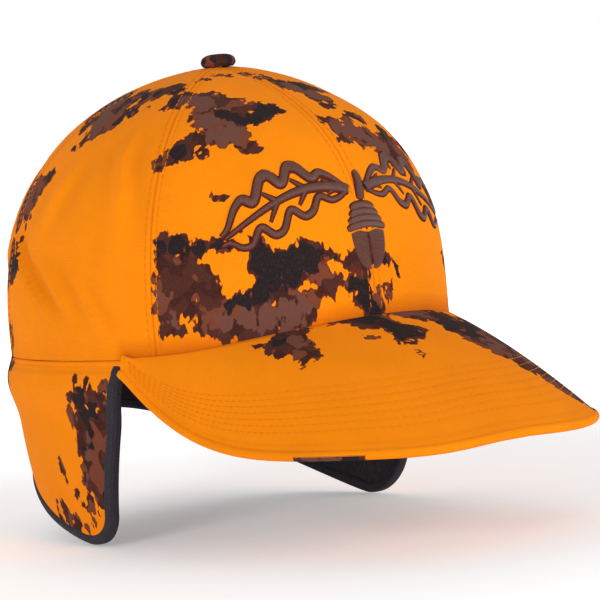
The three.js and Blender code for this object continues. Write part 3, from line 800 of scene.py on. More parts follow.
def make_twill():
    """Brushed orange twill. Spots are the print depths, made ragged by noise and cut sharp. Painted shade
    darkens it in creases, seams and fold hollows.
    """
    c = colours()
    sheen = {"sheen_weight": 0.02, "sheen_roughness": 0.5, "sheen_tint": (1.0, 0.75, 0.5, 1)}
    s = Shader("camo_twill", c.orange, 0.95, 0.08, **sheen)
    leafy = s.noise(s.rest((1.0, 1.0, 0.78)), 180, 2, 0.45)
    spike = s.noise(s.rest((1.1, 1.1, 0.62)), 290, 1.5, 0.4)
    spike = s.math("ABSOLUTE", s.math("SUBTRACT", spike, 0.5))
    ragged = s.math("MULTIPLY_ADD", s.math("SUBTRACT", leafy, 0.42), 6.5, s.attribute("print_edge"))
    ragged = s.math("MULTIPLY_ADD", s.math("SUBTRACT", 0.09, spike), 9.0, ragged)
    inner = s.noise(s.rest((1.0, 1.0, 0.75)), 170, 2, 0.45)
    black = s.math("MULTIPLY_ADD", s.math("SUBTRACT", inner, 0.47), 10.0, s.attribute("print_black"))
    streak = s.noise(s.rest((1.1, 1.1, 0.6)), 230, 3, 0.5)
    grey = s.math("MULTIPLY_ADD", s.math("SUBTRACT", streak, 0.5), 14.0, s.attribute("print_grey"))
    tone = s.noise(s.rest(), 30, 3)
    ground = s.mix(s.ramp(tone, 0.35, 0.65, 0.0, 0.5), c.orange, shade(c.orange, 0.86))
    slub = s.noise(s.cloth((1, 12, 1)), 420, 3, 0.7)
    ground = s.mix(s.ramp(slub, 0.5, 0.72, 0.0, 0.3), ground, shade(c.orange, 0.72))
    weft = s.noise(s.cloth((12, 1, 1)), 420, 3, 0.7)
    pale = tuple(min(1.0, v + 0.01) for v in shade(c.orange, 1.12))
    ground = s.mix(s.ramp(weft, 0.5, 0.72, 0.0, 0.3), ground, pale)
    # Painted shade: mixes towards the darker orange where the mesh marks creases, seams and fold hollows.
    ground = s.mix(s.math("MULTIPLY", s.attribute("crease_shade"), 0.62), ground, c.crease_shade)
    flat = s.noise(s.rest(), 120, 1, 0.5)
    patch = s.mix(s.ramp(flat, 0.49, 0.52), c.brown, shade(c.brown, 0.66))
    rusty = s.noise(s.rest((1, 1, 0.8)), 95, 2, 0.5)
    patch = s.mix(s.ramp(rusty, 0.53, 0.545), patch, c.rust)
    patch = s.mix(s.ramp(grey, 0.0, 0.5), patch, c.grey)
    patch = s.mix(s.ramp(black, 0.0, 0.5), patch, c.black)
    patch = s.mix(s.ramp(ragged, 0.45, 0.9), c.outline, patch)
    worn = s.math("MULTIPLY", slub, weft)
    patch = s.mix(s.ramp(worn, 0.24, 0.4, 0.0, 0.16), patch, (0.26, 0.14, 0.11))
    s.paint(s.mix(s.ramp(ragged, 0.0, 0.3), ground, patch))
    s.bump(twill_height(s), 0.3, 0.00025)
    return s.material


def make_fleece():
    """Short pile: two sizes of fuzz, paler on the tips."""
    c = colours()
    s = Shader("fleece", c.lining, 1.0, 0.1, sheen_weight=0.15, sheen_roughness=0.5)
    pile = s.noise(s.rest(), 700, 5, 0.7)
    clump = s.noise(s.rest(), 120, 3)
    height = s.math("MULTIPLY_ADD", clump, 0.6, pile)
    s.paint(s.mix(s.ramp(pile, 0.4, 0.7), c.lining, shade(c.lining, 2.1)))
    s.bump(height, 0.9, 0.0009)
    return s.material


def make_binding():
    """Ribbed elastic: ribs along its length, crossed by fine weft."""
    c = colours()
    s = Shader("elastic_binding", c.binding, 0.9, 0.2, sheen_weight=0.03)
    weft = s.bands(s.cloth(), 520, 0.2)
    ribs = s.bands(s.cloth(turn=math.radians(90)), 230, 0.0)
    height = s.math("MULTIPLY_ADD", ribs, 1.4, weft)
    fuzz = s.noise(s.rest(), 1200, 2)
    s.paint(s.mix(s.ramp(fuzz, 0.4, 0.75, 0, 0.5), c.binding, (0.055, 0.05, 0.062)))
    s.bump(height, 0.55, 0.00035)
    return s.material


def make_satin():
    """Satin stitch: fine parallel threads across each stroke, with a silky gloss."""
    c = colours()
    s = Shader("satin_thread", c.satin, 0.42, anisotropic=0.4)
    threads = s.bands(s.cloth(), 560, 0.5)
    strand = s.noise(s.cloth((1, 0.06, 1)), 900, 2)
    low, high = shade(c.satin, 0.5), shade(c.satin, 1.6)
    s.paint(s.mix(s.ramp(s.math("MULTIPLY_ADD", strand, 0.8, threads), 0.3, 1.3), low, high))
    s.bump(threads, 0.8, 0.0004)
    return s.material


def make_thread(name, base):
    """Twisted sewing thread: a fine diagonal ply."""
    s = Shader(name, base, 0.85, 0.1)
    ply = s.bands(s.cloth(turn=math.radians(35)), 900, 0.0)
    s.paint(s.mix(ply, shade(base, 0.85), base))
    s.bump(ply, 0.3, 0.0001)
    return s.material


def make_jersey():
    """Sweatband jersey: fine vertical ribs."""
    s = Shader("sweatband_jersey", (0.022, 0.021, 0.024), 0.8, sheen_weight=0.2)
    ribs = s.bands(s.cloth(), 300, 0.2)
    fuzz = s.noise(s.rest(), 1100, 3)
    s.paint(s.mix(fuzz, (0.013, 0.012, 0.014), (0.045, 0.042, 0.047)))
    s.bump(s.math("ADD", ribs, fuzz), 0.5, 0.0003)
    return s.material


def make_buckram():
    """Open stiff weave: two crossed sets of bands, over size."""
    s = Shader("buckram_weave", (0.58, 0.53, 0.43), 0.9)
    warp = s.bands(s.cloth(), 260, 0.2)
    weft = s.bands(s.cloth(turn=math.radians(90)), 260, 0.2)
    weave = s.math("MULTIPLY", warp, weft)
    s.paint(s.mix(weave, (0.4, 0.36, 0.29), (0.66, 0.62, 0.52)))
    s.bump(weave, 0.7, 0.0004)
    return s.material


def make_board():
    """Milled polyethylene: faint mottling and scuffs on Object coordinates."""
    s = Shader("peak_board_plastic", (0.7, 0.7, 0.67), 0.5)
    place = s.node("TexCoord").outputs["Object"]
    mottle = s.noise(place, 90, 4)
    s.paint(s.mix(mottle, (0.62, 0.62, 0.6), (0.76, 0.76, 0.73)))
    s.bump(s.noise(place, 700, 2), 0.2, 0.0002)
    return s.material


def make_metal():
    """Stamped aluminium with fine turning marks on Object coordinates."""
    s = Shader("rivet_aluminium", (0.6, 0.6, 0.61), 0.35, metallic=1.0)
    place = s.node("TexCoord").outputs["Object"]
    marks = s.noise(place, 1800, 3)
    s.paint(s.mix(marks, (0.5, 0.5, 0.52), (0.68, 0.68, 0.69)))
    s.bump(marks, 0.3, 0.0001)
    return s.material


MATERIALS = {}


def material(key):
    """A finished material, by its short name."""
    return MATERIALS[key]


# ---- Sewing ----


def thread_stitches(name, rows, normal_rows):
    """Running stitches along rows of points: each is a short six-sided bead that dips at its ends.

    A row is resampled at even steps of one stitch and a gap; a stitch is five rings of six points
    whose radius swells from its ends to its middle, raised along the cloth's normal.
    """
    length, radius = in_mm("stitch_length"), in_mm("thread_radius")
    ring_share = np.array([0.0, 0.16, 0.5, 0.84, 1.0])
    ring_size = np.array([0.25, 0.85, 1.0, 0.85, 0.25])
    lift = radius * np.array([-0.9, 0.1, 0.45, 0.1, -0.9])
    turn = even_turns(STITCH_SIDES)
    per_stitch = len(ring_share) * STITCH_SIDES
    points, faces, uvs, offset = [], [], [], 0
    for row, normal in zip(rows, normal_rows):
        along = run(row)
        count = int(along[-1] // (length * (1 + STITCH_GAP)))
        if count < 2:
            continue
        start = (np.arange(count) + 0.1) * along[-1] / count
        where = start[:, None] + ring_share * length
        middle = np.stack([np.interp(where, along, row[:, k]) for k in range(3)], -1)
        up = np.stack([np.interp(where, along, normal[:, k]) for k in range(3)], -1)
        up /= np.linalg.norm(up, axis=-1, keepdims=True)
        ahead = np.gradient(middle, axis=1)
        ahead /= np.linalg.norm(ahead, axis=-1, keepdims=True)
        side = np.cross(up, ahead)
        middle = middle + up * lift[:, None]
        size = (radius * ring_size)[None, :, None, None]
        spoke = np.cos(turn)[:, None] * side[:, :, None] + np.sin(turn)[:, None] * up[:, :, None]
        rings = middle[:, :, None] + spoke * size
        index = offset + np.arange(count * per_stitch).reshape(count, len(ring_share), STITCH_SIDES)
        index = np.concatenate([index, index[:, :, :1]], axis=2)
        cells = (index[:, :-1, :-1], index[:, 1:, :-1], index[:, 1:, 1:], index[:, :-1, 1:])
        faces.append(np.stack(cells, -1).reshape(-1, 4))
        for end, order in ((0, (0, 1, 2, 3)), (0, (0, 3, 4, 5)), (-1, (3, 2, 1, 0)), (-1, (5, 4, 3, 0))):
            faces.append(index[:, end][:, list(order)])
        points.append(rings.reshape(-1, 3))
        u = np.repeat(where, STITCH_SIDES, axis=1).ravel()
        uvs.append(np.stack([u, np.tile(np.arange(STITCH_SIDES) * radius, count * len(ring_share))], -1))
        offset += count * per_stitch
    joined_points, joined_faces, uv = (np.concatenate(part) for part in (points, faces, uvs))
    obj = make_object(name, joined_points, joined_faces, material("thread"), uv=uv)
    finish_piece(obj, "crown")


def seam_relief(distance):
    """Depth at a distance from a sewn seam: a groove, a soft welt, and a dip under the stitches."""
    offset = in_mm("stitch_offset")
    groove = -in_mm("seam_depth") * bell(distance, 0.4)
    welt = 0.14 * bell(distance - 0.5 * offset, 0.9)
    dip = -0.1 * bell(distance - offset, 0.5)
    return groove + welt + dip


# ---- Crown ----


def soft_ridge(angle, height, line, width):
    """A raised fold along a line of (angle, height, rise) places: a bell across it, fading at its ends."""
    table = np.array(line, float)
    places, heights, rises = table[np.argsort(table[:, 1])].T
    middle = np.interp(height, heights, places)
    rise = 1.7 * np.interp(height, heights, rises, left=0, right=0)
    across = (angle - middle) * np.pi / 180 * GIRTH_RADIUS
    hollow = 0.55 * bell(across + 2.0 * width, 1.3 * width)
    hollow += 0.35 * bell(across - 2.0 * width, 1.3 * width)
    return rise * (bell(across, width) - hollow)


# Each fold: its line of (angle, height, rise) places, and its width.
FOLDS = (
    (((116, 58, 0), (112, 50, 0.9), (105, 40, 1.3), (99, 31, 1.2), (94, 23, 0.8), (91, 15, 0)), 2.6),
    (((97, 46, 0), (93, 38, 0.6), (88, 28, 0.8), (84, 16, 0)), 4.0),
    (((86, 40, 0), (82, 30, 0.5), (77, 18, 0.6), (73, 6, 0)), 3.2),
    (((76, 96, 0), (75, 84, 0.6), (71, 68, 0.6), (70, 50, 0.3), (70, 38, 0)), 4.5),
    (((93, 90, 0), (95, 78, 0.5), (98, 62, 0.5), (100, 50, 0)), 5.0),
    (((30, 90, 0), (26, 78, 0.35), (24, 66, 0)), 6.0),
    (((135, 84, 0), (140, 66, 0.8), (137, 44, 0.9), (142, 22, 0)), 4.0),
    (((165, 70, 0), (161, 52, 0.7), (166, 30, 0.7), (163, 12, 0)), 4.5),
)


def fold_shape(turned, height):
    """All the soft folds together, alike on both sides."""
    return sum(soft_ridge(turned, height, line, width) for line, width in FOLDS)


def welt_top(turned):
    """Top of the sewn welt over the rolled hem: a smooth step that rises towards the back."""
    share = np.clip((turned - 74) / 44, 0, 1)
    return 1.7 + 2.9 * share**2 * (3 - 2 * share)


def crown_relief(angle, points):
    """Soft folds at the sides, gentle unevenness all over, and a sewn welt above the rolled hem."""
    height = points[..., 2]
    turned = from_front(angle)
    fine = 0.22 * ripple(points, 9.0, 11) + 0.5 * ripple(points, 22.0, 12)
    fade = np.clip((HEIGHT - height) / 18, 0.12, 1)
    behind = np.clip((turned - PEAK_END) / 3, 0, 1)
    top = welt_top(turned)
    welt = 0.45 * np.sin(np.pi * np.clip(height / top, 0, 1))
    welt -= 0.6 * bell(height - top - 0.4, 0.9)
    return in_mm("fold_depth") * (fold_shape(turned, height) + 0.6 * fine) * fade + behind * welt


def to_seam(angle, points):
    """Distance along the cloth to the nearest panel seam: the turn to it times the way to the apex."""
    radius = np.hypot(points[..., 0], points[..., 1] + APEX_FORWARD)
    return np.abs((angle + PANEL_STEP / 2) % PANEL_STEP - PANEL_STEP / 2) * np.pi / 180 * radius


def seam_columns(first, last, fine=0.45, coarse=1.7, border=5.0):
    """Angles across a panel: close together near both seams, wider in the middle."""
    width = (last - first) * np.pi / 180 * GIRTH_RADIUS
    edge = np.arange(0, border, fine)
    middle = np.linspace(border, width - border, max(3, int((width - 2 * border) / coarse)))
    spots = np.r_[edge, middle, width - edge[::-1]]
    return first + (last - first) * spots / width


def crown_sheet(angles, inset=0.0, rows=110, relief=True):
    """A grid over part of the crown, with its seams' and folds' relief along the normals."""
    angle = angles[:, None] * np.ones(rows)
    rise = apex_rise(angle, inset, 3.5) * np.linspace(0, 1, rows) ** 0.9
    points = crown(angle, np.maximum(rise, 0.001), inset)
    if not relief:
        return points
    depth = seam_relief(to_seam(angle, points)) + crown_relief(angle, points)
    behind = np.clip((from_front(angle) - PEAK_END + 1) / 3, 0, 1)
    depth -= 0.1 * bell(points[..., 2] - hem_height(angle), 0.9) * behind
    return points + outward(points, CROWN_MIDDLE) * depth[..., None]


def crown_crease_shade(angles, points):
    """Painted shade: 1 in the seams, above the peak and beside the welt, falling off within about a
    millimetre, and more in the folds' hollows.
    """
    angle = angles[:, None] * np.ones(points.shape[1])
    turned = from_front(angle)
    seam = to_seam(angle, points)
    hem = points[..., 2] - hem_height(angle)
    above = points[..., 2] - welt_top(turned)
    front = np.clip((PEAK_END + 3 - turned) / 3, 0, 1)
    crease_shade = 0.5 * bell(seam, 0.4) + 0.12 * bell(seam - in_mm("stitch_offset"), 0.5)
    crease_shade += front * 1.2 * bell(hem, 1.6)
    crease_shade += (1 - front) * (0.15 * bell(hem, 0.8) + 0.55 * bell(above - 0.3, 0.9))
    # Painted shade in the hollows of the soft folds.
    crease_shade += 0.3 * np.clip(-fold_shape(turned, points[..., 2]), 0, 1)
    return np.clip(crease_shade, 0, 1)


def seam_lines(count=200):
    """Rows of topstitching on both sides of each crown seam, with the cloth's normals."""
    rows, ups = [], []
    offset = in_mm("stitch_offset")
    for k in range(PANELS):
        for side in (-1, 1):
            angle = np.full(count, k * PANEL_STEP)
            rise = apex_rise(angle, 0.0, 8.5) * np.linspace(0.002, 1, count) ** 0.9
            middle = crown(angle, rise)
            radius = np.hypot(middle[:, 0], middle[:, 1] + APEX_FORWARD)
            shifted = angle + side * np.degrees(offset / radius)
            grid = crown(shifted[:, None] + np.array([-0.3, 0, 0.3]), rise[:, None] + np.zeros(3))
            up = outward(grid, CROWN_MIDDLE)[:, 1]
            relief = seam_relief(np.full(count, offset)) + crown_relief(shifted, grid[:, 1])
            rows.append(grid[:, 1] + up * (relief[:, None] + 0.05))
            ups.append(up)
    return rows, ups


def make_crown_panels():
    """Six twill panels between seams at even angles, and their topstitching."""
    for k, name in enumerate(PANEL_NAMES):
        angles = seam_columns(k * PANEL_STEP, (k + 1) * PANEL_STEP)
        outer = crown_sheet(angles)
        inner = crown_sheet(angles, SHELL, relief=False)
        values = print_values(outer, BODY_PRINT)
        # Painted shade in the seams, the folds' hollows, above the peak and beside the welt.
        values["crease_shade"] = crown_crease_shade(angles, outer)
        obj = shell_object(f"twill_{name}", outer, inner, material("twill"), values)
        finish_piece(obj, "crown", [f"panel_{name}"])
    thread_stitches("seam_topstitch", *seam_lines())


def make_lining():
    """Fleece behind each panel, rolled at the seams, and the stiffener behind the front ones."""
    for k, name in enumerate(PANEL_NAMES):
        angles = np.linspace(k * PANEL_STEP, (k + 1) * PANEL_STEP, 44)
        outer = crown_sheet(angles, LINING_INSET, 70, False)
        inner = crown_sheet(angles, LINING_INSET + LINING, 70, False)
        seam = np.minimum(angles - angles[0], angles[-1] - angles)[:, None] * 1.6
        puff = 0.9 * bell(seam, 2.2) + 0.15 * ripple(inner, 6, 31 + k)
        inner = inner + outward(inner, CROWN_MIDDLE) * puff[..., None]
        obj = shell_object(f"fleece_{name}", outer, inner, material("fleece"))
        finish_piece(obj, "crown", [f"lining_{name}"])
        if not name.startswith("front"):
            continue
        rise = rise_at(angles[:, None], np.linspace(12, 98, 40)[None, :])
        outer, inner = (crown(angles[:, None], rise, BUCKRAM_INSET + d) for d in (0.0, BUCKRAM))
        obj = shell_object(f"stiffener_{name}", outer, inner, material("buckram"))
        finish_piece(obj, "crown", [f"buckram_{name}"])


def make_sweatband():
    """A flat ring folded over at its upper and lower edges: a rounded section swept round the head."""
    turn = even_turns(28)
    out, up = power(np.cos(turn), 0.5), power(np.sin(turn), 0.35)
    middle_inset = SWEATBAND_INSET + SWEATBAND / 2
    height = SWEATBAND_RAISE + SWEATBAND_HEIGHT / 2 * (1 + up)
    inset = middle_inset - out * SWEATBAND / 2 + 0.25 * bell(height - 6, 2.5) * (out < 0)
    angle = np.linspace(0, 360, 181)[:-1, None] + np.zeros(len(turn))
    rise = rise_at(angle, height + hem_height(angle), middle_inset)
    obj = tube_object("sweatband_ring", crown(angle, rise, inset), material("jersey"), loop=True)
    finish_piece(obj, "crown", ["sweatband"])


def make_hem_band():
    """A soft rolled hem between crown and flap: a rounded section swept round the sides and back.

    Its side towards the head has the dark of the lining.
    """
    angles = np.linspace(PEAK_END - 2.5, 360 - PEAK_END + 2.5, 300)
    turn = even_turns(26)
    angle = angles[:, None] + np.zeros(len(turn))
    half = (BAND_HIGH[2] - BAND_LOW[2]) / 2
    middle = (BAND_HIGH[2] + BAND_LOW[2]) / 2
    taper = np.clip((np.minimum(angles - angles[0], angles[-1] - angles) + 0.6) / 4, 0.45, 1)[:, None]
    out = power(np.cos(turn), 0.6) + np.zeros(angle.shape)
    z = middle + (half + 0.15) * power(np.sin(turn), 0.6) + np.zeros(angle.shape)
    rings = plan(angle, 1.3 - 1.7 * out * taper, 1.0, z)
    rings += 0.16 * ripple(rings, 7.0, 21)[..., None] * outward(rings, (0, 0, 0))
    values = print_values(rings, BODY_PRINT)
    # Painted shade along the band's top, under the crown's edge.
    values["crease_shade"] = 0.15 * bell(z - BAND_HIGH[2], 0.6)
    for key in ("print_edge", "print_black"):
        values[key] = np.where(out < -0.2, SOLID_PRINT, values[key])
    obj = tube_object("rolled_hem", rings, material("twill"), values)
    finish_piece(obj, "crown", ["hem_band"])


def make_button():
    """A cloth-covered dome: profile of a flattened ball, gathered slightly towards its base."""
    middle = (BUTTON_LOW + BUTTON_HIGH) / 2
    radius = (BUTTON_HIGH[0] - BUTTON_LOW[0]) / 2
    around = even_turns(72)
    up = np.radians(np.linspace(-62, 89, 34))[:, None]
    z = BUTTON_LOW[2] + (BUTTON_HIGH[2] - BUTTON_LOW[2]) * (0.36 + 0.64 * np.sin(up))
    gather = 1 + 0.02 * np.sin(around * 13) * np.clip(0.7 - up, 0, 1)
    r = radius * np.cos(up) ** 0.62 * gather
    x, y = middle[0] + r * np.cos(around), middle[1] + r * np.sin(around)
    rings = np.stack(np.broadcast_arrays(x, y, np.maximum(z, BUTTON_LOW[2] - 0.4)), -1)
    values = {
        "print_edge": np.full(x.shape, BUTTON_PRINT),
        "print_black": 2.5 * np.sin(x * 0.9 + 1.0) * np.cos(y * 0.7),
        "print_grey": np.full(x.shape, NO_PRINT),
    }
    obj = tube_object("covered_button", rings, material("twill"), values)
    finish_piece(obj, "crown", ["crown_button"])


# ---- Peak ----


def peak_row_shares():
    """Each row's share of the way from the crown to the peak's edge."""
    rows = np.arange(bpy.context.scene.cap_sizes.peak_rows)
    return 1 - (in_mm("peak_first_row") + rows * in_mm("peak_row_spacing")) / PEAK_REACH


def peak_relief(points, out):
    """Quilting: a shallow dip under each row of stitching and beside the rim, over soft unevenness."""
    depth = 0.15 * ripple(points, *PEAK_UNEVEN)
    for row in peak_row_shares():
        depth -= 0.11 * bell((out - row) * PEAK_REACH, 0.6)
    return depth - 0.16 * bell((1 - out) * PEAK_REACH - PEAK_RIM_SEAM, 1.0)


def peak_crease_shade(out):
    """Painted shade: 1 against the crown, with fainter lines in the rows of stitching and beside the rim."""
    crease_shade = bell(out * PEAK_REACH, 1.8) + 0.15 * bell((1 - out) * PEAK_REACH - PEAK_RIM_SEAM, 1.0)
    for row in peak_row_shares():
        crease_shade = crease_shade + 0.16 * bell((out - row) * PEAK_REACH, 0.5)
    return crease_shade


def peak_side(sign, lift, columns=260, rows=74):
    """One face of the peak with its rolled edge: the face, then a quarter turn round the rim."""
    across = np.sin(np.linspace(-np.pi / 2, np.pi / 2, columns))
    out = np.linspace(0, 1, rows)
    face = peak(across[:, None], out[None, :], sign * lift)
    angle = across * PEAK_END
    height = hem_height(angle) - PEAK_ROOT_DROP + sign * lift
    face[:, 0] = plan(angle, PEAK_ROOT_TUCK, 1.0, height)
    rim = peak(across, np.ones(columns))
    ahead = np.gradient(rim, axis=0)
    away = np.stack([ahead[:, 1], -ahead[:, 0], 0 * across], -1)
    away /= np.linalg.norm(away, axis=1, keepdims=True)
    away *= np.sign((away * (rim - [0, -60, 0])).sum(1, keepdims=True))
    turns = np.radians([75, 60, 45, 30, 15, -4])  # the covers meet just past the rim's middle
    up = np.array([0, 0, sign * lift])
    roll = rim[:, None] + away[:, None] * (lift * np.cos(turns))[None, :, None]
    roll = roll + up * np.sin(turns)[None, :, None]
    drop = sign * lift * np.r_[np.ones(rows), np.sin(turns)]
    return closed_ends(np.concatenate([face, roll], axis=1), drop), rows


def closed_ends(grid, drop):
    """Two more columns at each end, which turn the sheet in to the peak's middle surface."""
    strips = []
    for end, beside in ((0, 1), (-1, -2)):
        away = (grid[end] - grid[beside]) * np.array([1.0, 1.0, 0.0])
        away /= np.maximum(np.linalg.norm(away, axis=1, keepdims=True), 1e-9)
        down = np.stack([0 * drop, 0 * drop, drop], -1)
        strips.append((grid[end] + 0.3 * away - 0.3 * down, grid[end] + 0.5 * away - down))
    first, last = strips
    return np.concatenate([[first[1], first[0]], grid, [last[0], last[1]]])


def make_peak():
    """Top and bottom covers over the board, quilted by their rows of stitching."""
    for (name, sign), spots in zip(PEAK_FACES, (PEAK_PRINT, UNDER_PRINT)):
        outer, rows = peak_side(sign, PEAK_HALF_STACK)
        inner, _ = peak_side(sign, PEAK_HALF_STACK - PEAK_COVER)
        face = outer[:, :rows]
        out = np.linspace(0, 1, rows)[None, :]
        depth = peak_relief(face, out) * np.clip((1 - out) * 14, 0, 1)
        up = normals(face)
        up *= np.sign(up[..., 2:]) * sign
        outer[:, :rows] = face + up * depth[..., None] * np.abs(up[..., 2:])
        values = print_values(outer, spots, True)
        # Painted shade against the crown, in the rows of stitching and beside the rim.
        values["crease_shade"] = np.zeros(outer.shape[:2])
        values["crease_shade"][:, :rows] = peak_crease_shade(out)
        uv = outer[..., :2].copy()
        obj = shell_object(f"peak_{name}_twill", outer, inner, material("twill"), values, uv)
        finish_piece(obj, "crown", [f"peak_{name}_cover"])
    for name, sign in PEAK_FACES:
        make_peak_stitching(name, sign)


def make_peak_stitching(name, sign):
    """Rows of stitches at even shares of the way out, on one face of the peak."""
    across = np.linspace(-0.985, 0.985, 400)
    rows, ups = [], []
    for share in peak_row_shares():
        out = share + np.array([-0.01, 0.0, 0.01])
        strip = peak(across[:, None], out[None, :])
        up = normals(strip)[:, 1]
        up *= np.sign(up[:, 2:]) * sign
        lifted = strip[:, 1] + np.array([0, 0, sign * PEAK_HALF_STACK])
        depth = 0.15 * ripple(lifted, *PEAK_UNEVEN) - 0.09
        rows.append(lifted + up * depth[:, None] * np.abs(up[:, 2:]))
        ups.append(up)
    thread_stitches(f"peak_{name}_stitching", rows, ups)


# ---- Ear and neck flap ----


def flap_front(z):
    """Angle of the front edge, leaning back as it goes down."""
    top = PEAK_END + np.degrees(FLAP_FRONT_CLEARANCE / GIRTH_RADIUS)
    return top + FLAP_SLANT * np.clip(FLAP_TOP - z, 0, None) / FLAP_EAR_DEPTH


def section_limits(number):
    """First and last angle of a section, counted on its own side, and whether it is a front one."""
    half = SECTIONS // 2
    k = number - 1 if number <= half else SECTIONS - number
    span = (180 - PEAK_END) / half
    return PEAK_END + k * span, PEAK_END + (k + 1) * span, k == 0


def mirror_if_left(points, number):
    """Left sections are the right ones mirrored."""
    if number <= SECTIONS // 2:
        return points
    return points * np.array([-1.0, 1.0, 1.0])


def front_edge(last, trim, turns, along):
    """Shares of the width, and depths, along the front section's lower edge.

    Its corner is a quarter circle, so the columns there follow the cosine of even turns.
    """
    start = flap_front(-FLAP_EAR_DEPTH)
    width = np.radians(last - start) * GIRTH_RADIUS - trim
    radius = FLAP_CORNER - trim
    corner = radius / width * (1 - np.cos(np.radians(np.linspace(0, 90, turns))))
    share = np.r_[corner, np.linspace(radius / width, 1, along)[1:]]
    depth = flap_depth(start + (last - start) * share)
    return share, depth - trim - corner_gap(share, width, radius)


def section_grid(number, trim, top, columns=40, rows=66):
    """Angle and height over one section, drawn in by trim from its front and lower edges.

    Columns share the width between the front edge and the section's end.
    """
    first, last, front = section_limits(number)
    if front:
        share, depth = front_edge(last, trim, columns // 2, columns // 2)
    else:
        share = np.linspace(0, 1, columns)
        depth = flap_depth(first + (last - first) * share) - trim
    z = top + (-depth[:, None] - top) * np.linspace(0, 1, rows)
    begin = flap_front(z) + np.degrees(trim / GIRTH_RADIUS) if front else first
    return begin + (last - begin) * share[:, None], z


def flap_sheet(number, outer_inset, thickness, puff):
    """Both faces of a section's sheet. Soft unevenness goes to the outer face by puff, else inwards."""
    angle, z = section_grid(number, BINDING_WIDTH - BINDING_OVERLAP, FLAP_CLOTH_TOP)
    outer = flap(angle, z, outer_inset)
    inner = flap(angle, z, outer_inset + thickness)
    away = outward(outer, FLAP_MIDDLE)
    relief = 0.5 * ripple(outer, 16.0, 51) * np.clip((-z - 8) / 14, 0, 1) * np.clip((z + 84) / 20, 0.2, 1)
    outer = outer + away * (relief * puff)[..., None]
    inner = inner + away * (relief * (1 - puff))[..., None]
    return mirror_if_left(outer, number), mirror_if_left(inner, number)


def hang_on_hinge(obj, node):
    """Bakes the cloth's placing into its mesh and hides the frame node that it stands for."""
    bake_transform(obj)
    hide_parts(node)


def binding_path(number, trim, down=60):
    """Angle and height along the bound edge: down the front, round the corner, along the bottom."""
    first, last, front = section_limits(number)
    if not front:
        angle = np.linspace(first, last, 90)
        return angle, trim - flap_depth(angle)
    share, depth = front_edge(last, trim, 26, 40)
    share = np.r_[np.zeros(down), share[1:]]
    depth = np.r_[np.linspace(-BINDING_TOP, depth[0], down), depth[1:]]
    begin = flap_front(-depth) + np.degrees(trim / GIRTH_RADIUS)
    return begin + (last - begin) * share, -depth


def make_flap_binding(number):
    """A rounded strip folded over the flap's edge: a section swept between two trims of the edge."""
    turn = even_turns(30)
    across = 0.5 + 0.5 * power(np.cos(turn), 0.6)
    thickness = SHELL + PLY_GAP + FLAP_LINING
    edge_angle, edge_z = binding_path(number, 0.0)
    deep_angle, deep_z = binding_path(number, BINDING_WIDTH)
    angle = edge_angle[:, None] * across + deep_angle[:, None] * (1 - across)
    z = edge_z[:, None] * across + deep_z[:, None] * (1 - across)
    ribs = 0.1 * np.cos(across * 2 * np.pi * 5)
    inset = thickness / 2 - power(np.sin(turn), 0.55) * (thickness / 2 + BINDING_PROUD + ribs)
    rings = flap(angle, z, inset)
    if section_limits(number)[2]:
        fade = np.clip(np.arange(len(rings)) / 3, 0.0, 1.0) ** 0.5
        middle = rings.mean(axis=1, keepdims=True)
        rings = middle + (rings - middle) * (0.6 + 0.4 * fade)[:, None, None]
    obj = tube_object(f"binding_{number}", mirror_if_left(rings, number), material("binding"))
    hang_on_hinge(obj, f"flap_binding_{number}")


def make_flap():
    """Each section's twill, fleece and binding."""
    for number in range(1, SECTIONS + 1):
        outer, inner = flap_sheet(number, 0.0, SHELL, 1.0)
        values = print_values(outer, BODY_PRINT)
        # Painted shade along the flap's top, under the rolled hem.
        values["crease_shade"] = 0.25 * bell(outer[..., 2] - BAND_LOW[2], 0.9)
        obj = shell_object(f"flap_twill_{number}", outer, inner, material("twill"), values)
        hang_on_hinge(obj, f"flap_cover_{number}")
        outer, inner = flap_sheet(number, FLAP_LINING_INSET, FLAP_LINING, 0.0)
        obj = shell_object(f"flap_fleece_{number}", outer, inner, material("fleece"))
        hang_on_hinge(obj, f"flap_lining_{number}")
        make_flap_binding(number)


# ---- Embroidered oak sprig ----


def on_front(across, up, lift):
    """A flat motif point wrapped on the front: across is towards the wearer's right."""
    angle = np.degrees(across / GIRTH_RADIUS)
    return crown(angle, rise_at(angle, up), -lift)


def stroke(line, widths, height, sides=16):
    """Rings of a satin stroke along a flat line: a low dome, sunk a little where it meets the cloth."""
    ahead = np.gradient(line, axis=0)
    ahead /= np.maximum(np.linalg.norm(ahead, axis=1, keepdims=True), 1e-9)
    side = np.stack([-ahead[:, 1], ahead[:, 0]], -1)
    turn = even_turns(sides)
    reach = np.cos(turn) * widths[:, None] / 2
    swell = np.where(np.sin(turn) > 0, np.abs(np.sin(turn)) ** 0.7, -0.35)
    low = np.clip(widths / 3.0, 0.1, 1.0) ** 0.6
    lift = swell * height * low[:, None] + 0.15
    flat = line[:, None] + side[:, None] * reach[..., None]
    return on_front(flat[..., 0], flat[..., 1], lift)


def leaf_outline(count=300):
    """Half an oak leaf as width along its length: a long belly times soft round lobes."""
    s = np.linspace(0, 1, count)
    belly = np.sin(np.pi * np.clip(0.04 + 0.93 * s, 0, 1)) ** 0.7 * (0.66 + 0.5 * s)
    lobes = 1 - 0.5 * (0.5 + 0.5 * np.cos(2 * np.pi * (4.1 * s + 0.05))) ** 1.5
    return s, belly * lobes


def taper(count, width, tip, ends):
    """Stroke widths that narrow to a tip's share over a share of the length at both ends."""
    s = np.linspace(0, 1, count)
    shape = np.clip(np.minimum(s, 1 - s) / ends, 0, 1) ** 0.6
    return width * (tip + (1 - tip) * shape)


